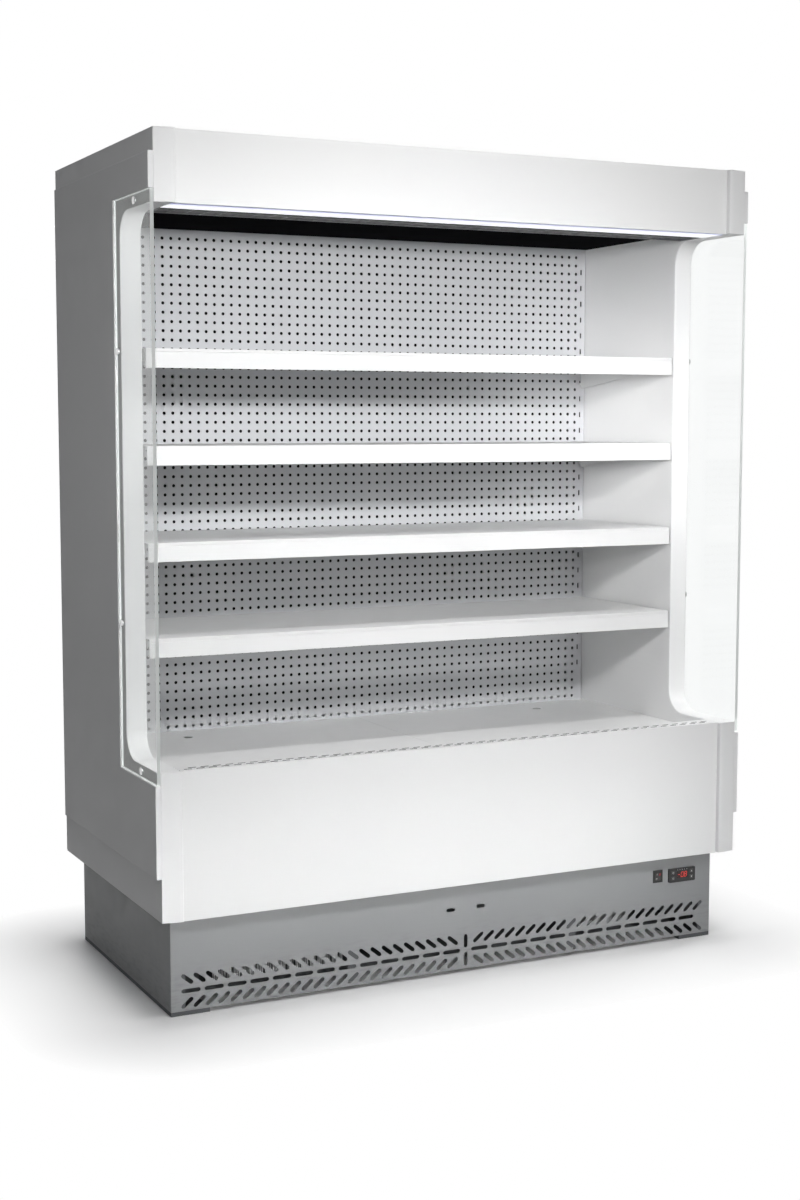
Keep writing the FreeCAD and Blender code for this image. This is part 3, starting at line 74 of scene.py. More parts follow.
class Effect(Enum):
    """Surface effects that several finishes share, each one shader node group."""

    PEEL = "powder coat peel"
    EDGE = "softened edge"
    GRAIN = "drawn grain"
    SCUFF = "floor scuffs"
    SPANGLE = "zinc spangle"


class Slot(Enum):
    """The record's material slots."""

    WHITE_STEEL = "white_steel"
    WHITE_FOAM_PANEL = "white_foam_panel"
    SIDE_SKIN = "side_skin"
    CLEAR_GLASS = "clear_glass"
    STUD_STEEL = "stud_steel"
    GREY_STEEL = "grey_steel"
    ZINC_STEEL = "zinc_steel"
    RAIL_PLASTIC = "rail_plastic"
    OPAL_PLASTIC = "opal_plastic"
    OUTLET_PLASTIC = "outlet_plastic"
    SOFFIT_STEEL = "soffit_steel"
    COIL_ALUMINIUM = "coil_aluminium"
    FAN_PLASTIC = "fan_plastic"
    MOTOR_METAL = "motor_metal"
    COPPER = "copper"
    RUBBER = "rubber"
    DRAIN_PLASTIC = "drain_plastic"
    BOX_PLASTIC = "box_plastic"
    BLACK_PLASTIC = "black_plastic"
    KEY_PLASTIC = "key_plastic"
    WINDOW_PLASTIC = "window_plastic"


class Wiring:
    """Adds the nodes of one tree and joins their sockets.

    The Mix node keeps sockets for numbers, vectors and colours side by side, so those that blend
    colours are told by their places.
    """

    blend_factor: int = 0
    blend_colours: tuple[int, int] = (6, 7)
    blend_result: int = 2

    def __init__(self, tree: bpy.types.NodeTree) -> None:
        """Keeps the tree that the nodes go into."""
        self.tree = tree

    def feed(self, socket: bpy.types.NodeSocket, value: object) -> None:
        """Joins a socket to an input, or sets the input's own value.

        Args:
            socket: The input.
            value: An output socket, or a plain value.
        """
        if isinstance(value, bpy.types.NodeSocket):
            self.tree.links.new(value, socket)
        else:
            socket.default_value = value

    def supply(self, node: bpy.types.Node, **inputs: object) -> None:
        """Feeds several inputs of a node.

        Args:
            node: The node.
            inputs: Values or sockets by input, with an underscore for each space in a name.
        """
        for name, value in inputs.items():
            self.feed(node.inputs[name.replace("_", " ")], value)

    def add(self, kind: str, settings: dict[str, object] | None = None, **inputs: object) -> bpy.types.Node:
        """Adds one node.

        Args:
            kind: The node's type.
            settings: Properties of the node itself.
            inputs: Values or sockets for its inputs, named as in supply.

        Returns:
            The node.
        """
        node = self.tree.nodes.new(kind)
        for name, value in (settings or {}).items():
            setattr(node, name, value)
        self.supply(node, **inputs)
        return node

    def blend(self, factor: object, first: object, second: object) -> bpy.types.NodeSocket:
        """Mixes two colours.

        Args:
            factor: How much of the second colour shows.
            first: A colour or socket.
            second: A colour or socket.

        Returns:
            The mixed colour.
        """
        node = self.add("ShaderNodeMix", {"data_type": "RGBA"})
        self.feed(node.inputs[self.blend_factor], factor)
        for place, value in zip(self.blend_colours, (first, second)):
            self.feed(node.inputs[place], (*value, 1.0) if isinstance(value, tuple) else value)
        return node.outputs[self.blend_result]

    def work(self, kind: str, operation: str, values: tuple[object, ...]) -> bpy.types.bpy_prop_collection:
        """Works out one step of arithmetic.

        Args:
            kind: The arithmetic node's type.
            operation: Its operation.
            values: Its one or two operands.

        Returns:
            The node's outputs.
        """
        node = self.add(kind, {"operation": operation})
        for socket, value in zip(node.inputs, values):
            self.feed(socket, value)
        return node.outputs

    def sum(self, operation: str, *values: object) -> bpy.types.NodeSocket:
        """Gives the result of a step with numbers."""
        return self.work("ShaderNodeMath", operation, values)[0]

    def vector(self, operation: str, *values: object) -> bpy.types.bpy_prop_collection:
        """Gives a step with vectors, of which Vector or Value is the result."""
        return self.work("ShaderNodeVectorMath", operation, values)

    def place(self) -> bpy.types.NodeSocket:
        """Gives the shaded point in the piece's own coordinates."""
        return self.add("ShaderNodeTexCoord").outputs["Object"]

    def facing(self) -> bpy.types.NodeSocket:
        """Gives the way that the surface faces."""
        return self.add("ShaderNodeNewGeometry").outputs["Normal"]

    def along(self, vector: bpy.types.NodeSocket, axis: str) -> bpy.types.NodeSocket:
        """Takes one axis, named X, Y or Z, out of a vector."""
        return self.add("ShaderNodeSeparateXYZ", Vector=vector).outputs[axis]

    def noise(self, place: bpy.types.NodeSocket, scale: object, detail: float) -> bpy.types.NodeSocket:
        """Reads cloudy noise at a point, so fine and with so many finer layers."""
        return self.add("ShaderNodeTexNoise", Vector=place, Scale=scale, Detail=detail).outputs["Fac"]

    def mix(self, factor: object, first: bpy.types.Node, second: bpy.types.Node) -> bpy.types.Node:
        """Mixes two shaders.

        Args:
            factor: How much of the second shader shows.
            first: A node whose first output is a shader.
            second: Another.

        Returns:
            The node that mixes them.
        """
        node = self.add("ShaderNodeMixShader", Fac=factor)
        self.feed(node.inputs[1], first.outputs[0])
        self.feed(node.inputs[2], second.outputs[0])
        return node

    def spread(self, value: bpy.types.NodeSocket, source: Flat, target: Flat) -> bpy.types.NodeSocket:
        """Maps one range of values onto another.

        Args:
            value: The socket to map.
            source: Where the values start and end.
            target: What they become.

        Returns:
            The mapped value, held within the target.
        """
        ends = {"From_Min": source[0], "From_Max": source[1], "To_Min": target[0], "To_Max": target[1]}
        return self.add("ShaderNodeMapRange", Value=value, **ends).outputs["Result"]

    def effect(self, effect: Effect, **inputs: object) -> bpy.types.Node:
        """Places a shared effect.

        Args:
            effect: Which one.
            inputs: Its values here.

        Returns:
            The group node.
        """
        return self.add("ShaderNodeGroup", {"node_tree": EFFECTS.tree(effect)}, **inputs)


def start_group(
    name: str, kind: str, inputs: dict[str, str], outputs: dict[str, str]
) -> tuple[Wiring, bpy.types.bpy_prop_collection, bpy.types.Node]:
    """Starts a node group with its named sockets.

    Args:
        name: The group's name.
        kind: The tree's type.
        inputs: Socket kinds by name.
        outputs: Socket kinds by name.

    Returns:
        Its wiring, the sockets that bring its inputs in, and its output node.
    """
    tree = bpy.data.node_groups.new(name, kind)
    for way, sockets in (("OUTPUT", outputs), ("INPUT", inputs)):
        for label, held in sockets.items():
            tree.interface.new_socket(label, in_out=way, socket_type=f"NodeSocket{held}")
    wiring = Wiring(tree)
    return wiring, wiring.add("NodeGroupInput").outputs, wiring.add("NodeGroupOutput")


@dataclass
class EffectLibrary:
    """Builds each shared shader group the first time a finish asks for it.

    Each effect has a method that takes the group's name and gives its node tree.
    """

    kind: str = "ShaderNodeTree"
    gloss_scale: float = 26.0
    tone_scale: float = 2.3
    cloud_scale: float = 9.0
    mark_scale: float = 24.0
    mark_stretch: Place = (1.0, 1.0, 5.0)
    mark_range: Flat = (0.48, 0.72)
    edge_turn: Flat = (0.995, 0.85)
    edge_samples: int = 4
    fine_detail: float = 2.0
    soft_detail: float = 3.0
    deep_detail: float = 4.0
    mark_detail: float = 5.0
    made: dict[Effect, bpy.types.NodeTree] = field(default_factory=dict)

    def tree(self, effect: Effect) -> bpy.types.NodeTree:
        """Gives the group of an effect.

        Args:
            effect: Which one.

        Returns:
            Its node tree.
        """
        if effect not in self.made:
            maker = {
                Effect.PEEL: self.peel,
                Effect.EDGE: self.edge,
                Effect.GRAIN: self.grain,
                Effect.SCUFF: self.scuff,
                Effect.SPANGLE: self.spangle,
            }[effect]
            self.made[effect] = maker(effect.value)
        return self.made[effect]

    def peel(self, name: str) -> bpy.types.NodeTree:
        """Builds the fine orange peel, gloss drift and slow tone drift of a sprayed coat."""
        sockets = {"Height": "Float", "Gloss": "Float", "Tone": "Float"}
        wiring, given, result = start_group(name, self.kind, {"Size": "Float"}, sockets)
        place = wiring.place()
        wiring.supply(
            result,
            Height=wiring.noise(place, given["Size"], self.fine_detail),
            Gloss=wiring.noise(place, self.gloss_scale, self.deep_detail),
            Tone=wiring.noise(place, self.tone_scale, self.soft_detail),
        )
        return wiring.tree

    def edge(self, name: str) -> bpy.types.NodeTree:
        """Builds the rounded look of a folded or moulded edge, and a mask along it."""
        sockets = {"Mask": "Float", "Normal": "Vector"}
        wiring, given, result = start_group(name, self.kind, {"Radius": "Float"}, sockets)
        bevel = wiring.add("ShaderNodeBevel", {"samples": self.edge_samples}, Radius=given["Radius"])
        soft = bevel.outputs["Normal"]
        turn = wiring.vector("DOT_PRODUCT", soft, wiring.facing())["Value"]
        wiring.supply(result, Mask=wiring.spread(turn, self.edge_turn, UNIT), Normal=soft)
        return wiring.tree

    def grain(self, name: str) -> bpy.types.NodeTree:
        """Builds the long fine lines of drawn or rolled metal."""
        asked = {"Size": "Float", "Stretch": "Vector"}
        sockets = {"Height": "Float", "Tone": "Float"}
        wiring, given, result = start_group(name, self.kind, asked, sockets)
        place = wiring.place()
        drawn = wiring.vector("MULTIPLY", place, given["Stretch"])["Vector"]
        lines = wiring.noise(drawn, given["Size"], self.soft_detail)
        cloud = wiring.noise(place, self.cloud_scale, self.deep_detail)
        wiring.supply(result, Height=lines, Tone=wiring.sum("MULTIPLY", lines, cloud))
        return wiring.tree

    def scuff(self, name: str) -> bpy.types.NodeTree:
        """Builds the faint marks that mops and shoes leave near the floor."""
        wiring, given, result = start_group(name, self.kind, {"Reach": "Float"}, {"Mask": "Float"})
        place = wiring.place()
        rise = wiring.sum("DIVIDE", wiring.along(place, "Z"), given["Reach"])
        low = wiring.spread(wiring.sum("SUBTRACT", 1.0, rise), UNIT, UNIT)
        stretched = wiring.add("ShaderNodeMapping", Vector=place, Scale=self.mark_stretch)
        marks = wiring.noise(stretched.outputs["Vector"], self.mark_scale, self.mark_detail)
        streak = wiring.spread(marks, self.mark_range, UNIT)
        wiring.supply(result, Mask=wiring.sum("MULTIPLY", low, streak))
        return wiring.tree

    def spangle(self, name: str) -> bpy.types.NodeTree:
        """Builds the crystal patches of a hot dipped zinc coat."""
        wiring, given, result = start_group(name, self.kind, {"Size": "Float"}, {"Tone": "Float"})
        cells = wiring.add("ShaderNodeTexVoronoi", Vector=wiring.place(), Scale=given["Size"])
        parts = wiring.add("ShaderNodeSeparateColor", Color=cells.outputs["Color"])
        wiring.supply(result, Tone=parts.outputs[0])
        return wiring.tree


EFFECTS = EffectLibrary()


def start_material(name: str) -> tuple[bpy.types.Material, Wiring, bpy.types.Node]:
    """Starts a node material.

    Args:
        name: The finish's name.

    Returns:
        The material, its wiring and its Principled shader.
    """
    material = bpy.data.materials.new(name)
    material.use_nodes = True
    shader = next(node for node in material.node_tree.nodes if node.type == "BSDF_PRINCIPLED")
    return material, Wiring(material.node_tree), shader


def set_surface(material: bpy.types.Material, shown: bpy.types.Node) -> None:
    """Ends a material in a shader.

    Args:
        material: The material.
        shown: A node whose first output is a shader.
    """
    tree = material.node_tree
    output = next(node for node in tree.nodes if node.type == "OUTPUT_MATERIAL")
    tree.links.new(shown.outputs[0], output.inputs["Surface"])


@dataclass(frozen=True)
class CoatFinish:
    """A sprayed or moulded surface with peel, gloss drift, softened edges that turn lighter with rubbed
    wear and a painted highlight, and painted shade where it is set.
    """

    name: str
    light: Colour
    dark: Colour
    # Colour of the softened edges, lighter than the coat: rubbed wear and a painted highlight.
    worn_and_highlight: Colour
    gloss: Flat
    peel: float = 650.0
    depth: float = 0.00012
    edge: float = 0.0009
    scuff: float = 0.0
    mark: Colour = grey(0.1)
    specular: float = 0.5
    # Painted shade: a near-black colour laid on faces that look to the front, above a height, where only a
    # dark void lies behind holes and slots.
    painted_shade: Colour | None = None
    shade_above: float = -1.0
    shade_blend: float = 0.004
    shade_facing: Flat = (-0.5, -0.9)
    bump: float = 0.35
    wear_and_highlight_share: float = 0.5
    mark_share: float = 0.35

    def make(self) -> bpy.types.Material:
        """Builds the finish's material."""
        material, wiring, shader = start_material(self.name)
        peel = wiring.effect(Effect.PEEL, Size=self.peel)
        height = peel.outputs["Height"]
        bump = wiring.add("ShaderNodeBump", Strength=self.bump, Distance=self.depth, Height=height)
        colour = wiring.blend(peel.outputs["Tone"], self.light, self.dark)
        if self.edge > 0.0:
            edge = wiring.effect(Effect.EDGE, Radius=self.edge)
            # Edges turn lighter: partly rubbed wear, partly a painted highlight.
            wear_and_highlight = wiring.sum("MULTIPLY", edge.outputs["Mask"], self.wear_and_highlight_share)
            colour = wiring.blend(wear_and_highlight, colour, self.worn_and_highlight)
            wiring.supply(bump, Normal=edge.outputs["Normal"])
        if self.scuff > 0.0:
            scuff = wiring.effect(Effect.SCUFF, Reach=self.scuff)
            marks = wiring.sum("MULTIPLY", scuff.outputs["Mask"], self.mark_share)
            colour = wiring.blend(marks, colour, self.mark)
        # Painted shade on the faces that look to the front, above the set height.
        if self.painted_shade is not None:
            front = wiring.spread(wiring.along(wiring.facing(), "Y"), self.shade_facing, UNIT)
            step = (self.shade_above, self.shade_above + self.shade_blend)
            high = wiring.spread(wiring.along(wiring.place(), "Z"), step, UNIT)
            colour = wiring.blend(wiring.sum("MULTIPLY", front, high), colour, self.painted_shade)
        gloss = wiring.spread(peel.outputs["Gloss"], NOISE_RANGE, self.gloss)
        wiring.supply(shader, Base_Color=colour, Roughness=gloss, Normal=bump.outputs["Normal"])
        wiring.supply(shader, Specular_IOR_Level=self.specular)
        return material


@dataclass(frozen=True)
class MetalFinish:
    """Bare metal with drawn lines, and a zinc spangle where it has one."""

    name: str
    light: Colour
    dark: Colour
    gloss: Flat
    size: float = 60.0
    stretch: Place = (1.0, 30.0, 30.0)
    spangle: float = 0.0
    depth: float = 0.0002
    grain_range: Flat = (0.12, 0.4)
    spangle_share: float = 0.4
    bump: float = 0.25

    def make(self) -> bpy.types.Material:
        """Builds the finish's material."""
        material, wiring, shader = start_material(self.name)
        grain = wiring.effect(Effect.GRAIN, Size=self.size, Stretch=self.stretch)
        tone = wiring.spread(grain.outputs["Tone"], self.grain_range, UNIT)
        colour = wiring.blend(tone, self.light, self.dark)
        if self.spangle > 0.0:
            crystals = wiring.effect(Effect.SPANGLE, Size=self.spangle)
            shade = wiring.sum("MULTIPLY", crystals.outputs["Tone"], self.spangle_share)
            colour = wiring.blend(shade, colour, self.dark)
        height = grain.outputs["Height"]
        bump = wiring.add("ShaderNodeBump", Strength=self.bump, Distance=self.depth, Height=height)
        gloss = wiring.spread(grain.outputs["Tone"], self.grain_range, self.gloss)
        wiring.supply(shader, Base_Color=colour, Roughness=gloss, Normal=bump.outputs["Normal"])
        wiring.supply(shader, Metallic=1.0)
        return material


@dataclass(frozen=True)
class FinFinish:
    """A block of thin aluminium fins on tubes, with the gaps between fins in shade."""

    name: str
    fin: Colour
    gap: Colour
    pitch: float
    middle_share: float = 0.5
    gap_range: Flat = (0.3, 0.36)
    bent: float = 40.0
    bent_shade: Flat = (0.6, 1.0)
    gloss: Flat = (0.32, 0.7)
    bump: float = 0.6
    depth: float = 0.0012

    def make(self) -> bpy.types.Material:
        """Builds the finish's material."""
        material, wiring, shader = start_material(self.name)
        step = wiring.sum("FRACT", wiring.sum("DIVIDE", wiring.along(wiring.place(), "X"), self.pitch))
        ridge = wiring.sum("ABSOLUTE", wiring.sum("SUBTRACT", step, self.middle_share))
        gap = wiring.spread(ridge, self.gap_range, FALLING)
        bent = wiring.effect(Effect.PEEL, Size=self.bent)
        uneven = wiring.spread(bent.outputs["Gloss"], NOISE_RANGE, self.bent_shade)
        shade = wiring.sum("MULTIPLY", gap, uneven)
        bump = wiring.add("ShaderNodeBump", Strength=self.bump, Distance=self.depth, Height=ridge)
        wiring.supply(
            shader,
            Base_Color=wiring.blend(shade, self.fin, self.gap),
            Roughness=wiring.spread(gap, UNIT, self.gloss),
            Metallic=wiring.spread(gap, UNIT, FALLING),
            Normal=bump.outputs["Normal"],
        )
        return material


@dataclass(frozen=True)
class GlassFinish:
    """Clear tempered glass with ground edges that glow with a painted highlight, which lets the studio
    light through.
    """

    name: str
    tint: Colour
    film: Colour
    ground: Colour
    # Strength of the painted highlight that the ground rim gives off.
    painted_rim_glow: float
    bend: float = 1.25
    film_size: float = 90.0
    rim_facing: Flat = (0.5, 0.9)
    rim_rough: float = 0.55
    haze_range: Flat = (0.4, 0.75)
    haze: Flat = (0.0, 0.04)
    shadow: Colour = (0.93, 0.95, 0.94)

    def make(self) -> bpy.types.Material:
        """Builds the finish's material."""
        material, wiring, shader = start_material(self.name)
        peel = wiring.effect(Effect.PEEL, Size=self.film_size)
        flat = wiring.sum("ABSOLUTE", wiring.along(wiring.facing(), "X"))
        rim = wiring.spread(flat, self.rim_facing, FALLING)
        haze = wiring.spread(peel.outputs["Gloss"], self.haze_range, self.haze)
        colour = wiring.blend(peel.outputs["Tone"], self.tint, self.film)
        rough = wiring.sum("MAXIMUM", haze, wiring.sum("MULTIPLY", rim, self.rim_rough))
        # Painted highlight: the ground rim gives off light of its own.
        wiring.supply(
            shader,
            Base_Color=wiring.blend(rim, colour, self.ground),
            Roughness=rough,
            Emission_Color=wiring.blend(rim, grey(0.0), self.ground),
            Emission_Strength=self.painted_rim_glow,
            Transmission_Weight=1.0,
            IOR=self.bend,
        )
        clear = wiring.add("ShaderNodeBsdfTransparent", Color=(*self.shadow, 1.0))
        rays = wiring.add("ShaderNodeLightPath").outputs
        set_surface(material, wiring.mix(rays["Is Shadow Ray"], shader, clear))
        return material


@dataclass(frozen=True)
class GlowFinish:
    """A surface that gives light of its own, uneven as moulded lenses are."""

    name: str
    base: Colour
    bright: Colour
    dim: Colour
    strength: float
    gloss: Flat = (0.3, 0.45)
    line: Flat = (0.0, 0.0)
    line_colour: Colour = grey(1.0)
    uneven: float = 300.0

    def make(self) -> bpy.types.Material:
        """Builds the finish's material."""
        material, wiring, shader = start_material(self.name)
        peel = wiring.effect(Effect.PEEL, Size=self.uneven)
        glow = wiring.blend(peel.outputs["Gloss"], self.bright, self.dim)
        if self.line[0] < self.line[1]:
            front = wiring.spread(wiring.along(wiring.place(), "Y"), self.line, FALLING)
            glow = wiring.blend(front, glow, self.line_colour)
        gloss = wiring.spread(peel.outputs["Gloss"], NOISE_RANGE, self.gloss)
        wiring.supply(shader, Base_Color=(*self.base, 1.0), Roughness=gloss)
        wiring.supply(shader, Emission_Color=glow, Emission_Strength=self.strength)
        return material


Finish = CoatFinish | MetalFinish | FinFinish | GlassFinish | GlowFinish
# Near black, used as painted shade on the soffit, on the rear skin behind the holes and on the sill's slot
# walls.
SHADE: Colour = (0.012, 0.012, 0.013)
PALETTE: dict[Slot, Finish] = {
    Slot.WHITE_STEEL: CoatFinish(
        "white_powder_coat", (0.86, 0.86, 0.855), grey(0.83), grey(0.9), (0.3, 0.42)
    ),
    Slot.WHITE_FOAM_PANEL: CoatFinish(
        "white_foam_skin", grey(0.9), grey(0.88), grey(0.94), (0.4, 0.52), edge=0.003, specular=0.08
    ),
    Slot.SIDE_SKIN: CoatFinish(
        "white_moulded_skin",
        grey(0.88),
        grey(0.85),
        grey(0.9),
        (0.42, 0.54),
        peel=420.0,
        edge=0.0005,
        specular=0.08,
    ),
    Slot.CLEAR_GLASS: GlassFinish(
        "clear_pane", (0.965, 0.972, 0.97), (0.95, 0.97, 0.965), (0.86, 0.9, 0.885), 0.45
    ),
    Slot.STUD_STEEL: MetalFinish(
        "turned_studs", grey(0.72), (0.5, 0.5, 0.51), (0.2, 0.35), 90.0, (30.0, 30.0, 1.0)
    ),
    Slot.GREY_STEEL: CoatFinish(
        "grey_plinth_coat",
        (0.385, 0.392, 0.396),
        (0.335, 0.342, 0.346),
        (0.45, 0.46, 0.46),
        (0.42, 0.56),
        scuff=0.14,
        specular=0.15,
    ),
    Slot.ZINC_STEEL: MetalFinish(
        "galvanised_sheet", (0.62, 0.64, 0.66), (0.4, 0.42, 0.44), (0.35, 0.55), spangle=55.0
    ),
    Slot.RAIL_PLASTIC: CoatFinish(
        "price_rail",
        (0.88, 0.88, 0.875),
        grey(0.86),
        grey(0.93),
        (0.32, 0.4),
        peel=220.0,
        depth=0.00003,
        specular=0.2,
    ),
    Slot.OPAL_PLASTIC: GlowFinish(
        "opal_diffuser",
        (0.85, 0.86, 0.88),
        grey(1.0),
        (0.9, 0.92, 0.97),
        0.8,
        line=(-0.352, -0.343),
        line_colour=(0.3, 0.36, 0.95),
    ),
    Slot.OUTLET_PLASTIC: CoatFinish(
        "outlet_comb", (0.26, 0.26, 0.265), (0.21, 0.21, 0.215), grey(0.33), (0.4, 0.55)
    ),
    # Painted shade: the soffit under the canopy is coloured near black.
    Slot.SOFFIT_STEEL: CoatFinish(
        "soffit_painted_shade", SHADE, (0.008, 0.008, 0.009), grey(0.03), (0.8, 0.9), edge=0.0, specular=0.0
    ),
    Slot.COIL_ALUMINIUM: FinFinish("finned_coil", (0.72, 0.73, 0.74), (0.03, 0.03, 0.035), 0.0042),
    Slot.FAN_PLASTIC: CoatFinish(
        "fan_blades", (0.03, 0.03, 0.032), (0.022, 0.022, 0.024), grey(0.07), (0.35, 0.5)
    ),
    Slot.MOTOR_METAL: CoatFinish(
        "enamelled_motor", (0.02, 0.02, 0.021), (0.014, 0.014, 0.015), grey(0.08), (0.25, 0.4)
    ),
    Slot.COPPER: MetalFinish(
        "copper_pipe", (0.86, 0.42, 0.26), (0.5, 0.22, 0.13), (0.2, 0.4), 40.0, (1.0, 1.0, 1.0)
    ),
    Slot.RUBBER: CoatFinish("rubber_feet", grey(0.018), grey(0.012), grey(0.04), (0.6, 0.8)),
    Slot.DRAIN_PLASTIC: CoatFinish(
        "drain_plastic", (0.22, 0.22, 0.23), (0.18, 0.18, 0.19), grey(0.3), (0.4, 0.55)
    ),
    Slot.BOX_PLASTIC: CoatFinish(
        "grey_box", (0.42, 0.43, 0.44), (0.38, 0.39, 0.4), grey(0.5), (0.4, 0.55)
    ),
    Slot.BLACK_PLASTIC: CoatFinish(
        "black_bezel", grey(0.012), grey(0.008), grey(0.05), (0.3, 0.45), edge=0.0004
    ),
    Slot.KEY_PLASTIC: CoatFinish(
        "key_caps", grey(0.05), grey(0.04), grey(0.1), (0.4, 0.55), edge=0.0003
    ),
    Slot.WINDOW_PLASTIC: CoatFinish(
        "display_window",
        (0.02, 0.003, 0.003),
        (0.012, 0.002, 0.002),
        (0.05, 0.02, 0.02),
        (0.06, 0.12),
        depth=0.00002,
        edge=0.0002,
    ),
}
BACK_SHEET = CoatFinish(
    "back_sheet_coat",
    (0.69, 0.7, 0.718),
    (0.65, 0.66, 0.678),
    grey(0.72),
    (0.38, 0.5),
    edge=0.0,
    specular=0.3,
)
# Painted shade: the rear wall's faces that look to the front are near black above 0.55 m, so the back
# sheet's holes look dark.
DUCT_WALL = CoatFinish(
    "rear_skin_painted_shade",
    grey(0.86),
    grey(0.83),
    grey(0.92),
    (0.3, 0.44),
    edge=0.003,
    specular=0.25,
    painted_shade=SHADE,
    shade_above=0.55,
)
# Painted shade: the sill's faces that look to the front are near black, so its return-air slots look dark.
SLOTTED_SILL = replace(PALETTE[Slot.WHITE_STEEL], name="slotted_sill", painted_shade=SHADE)
# Painted shade: galvanised parts behind the grille slots and the back sheet's holes are coloured dark so
# those openings look dark; the scuffs are floor marks.
SHADED_ZINC = CoatFinish(
    "zinc_painted_shade",
    (0.13, 0.135, 0.14),
    (0.1, 0.104, 0.108),
    grey(0.22),
    (0.5, 0.65),
    scuff=0.2,
    specular=0.2,
)
# Nodes that take a painted-shade finish in place of their slot's finish.
OWN_FINISH: dict[str, Finish] = {
    "rear_wall": DUCT_WALL,
    "base_frame": SHADED_ZINC,
    "machine_tray": SHADED_ZINC,
    "uprights": SHADED_ZINC,
    "return_air_grille": SLOTTED_SILL,
}
DIGIT_LIT = GlowFinish("lit_segments", (0.2, 0.01, 0.01), (1.0, 0.05, 0.025), (0.85, 0.03, 0.015), 0.8)
DIGIT_DARK = CoatFinish(
    "dark_segments", (0.05, 0.008, 0.006), (0.035, 0.006, 0.005), (0.06, 0.01, 0.01), (0.2, 0.3)
)
PRINT_WHITE = CoatFinish(
    "white_print", (0.62, 0.62, 0.6), (0.52, 0.52, 0.5), grey(0.7), (0.4, 0.6), edge=0.0001
)
LENS_RED = GlowFinish("red_lens", (0.12, 0.005, 0.008), (0.3, 0.01, 0.02), (0.2, 0.005, 0.012), 0.5)


@dataclass
class FinishShelf:
    """Keeps one material for each finish."""

    made: dict[str, bpy.types.Material] = field(default_factory=dict)

    def get(self, finish: Finish) -> bpy.types.Material:
        """Gives a finish's material.

        Args:
            finish: The finish.

        Returns:
            Its material, made once.
        """
        if finish.name not in self.made:
            self.made[finish.name] = finish.make()
        return self.made[finish.name]


SHELF = FinishShelf()


def dress_frame() -> None:
    """Gives every node of the frame the finish of its slot, or the painted-shade finish that OWN_FINISH
    holds for it.
    """
    for name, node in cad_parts.items():
        for held in node.material_slots:
            slot = Slot(held.material.name.split(".")[0])
            held.material = SHELF.get(OWN_FINISH.get(name, PALETTE[slot]))
        LOG.info("dressed %s", name)


def new_piece(name: str, shape: bmesh.types.BMesh, finish: bpy.types.Material) -> bpy.types.Object:
    """Makes an object of a mesh in the shared frame.

    Args:
        name: The piece's name.
        shape: Its mesh, which is freed here.
        finish: Its material.

    Returns:
        The object.
    """
    mesh = bpy.data.meshes.new(name)
    shape.to_mesh(mesh)
    shape.free()
    mesh.materials.append(finish)
    piece = bpy.data.objects.new(name, mesh)
    bpy.context.scene.collection.objects.link(piece)
    return piece


def add_slab(shape: bmesh.types.BMesh, low: Place, high: Place) -> None:
    """Adds a closed box to a mesh.

    Args:
        shape: The mesh.
        low: The box's lowest corner.
        high: Its highest corner.
    """
    corners = [shape.verts.new(point) for point in product(*zip(low, high))]
    for face in BOX_FACES:
        shape.faces.new([corners[i] for i in face])


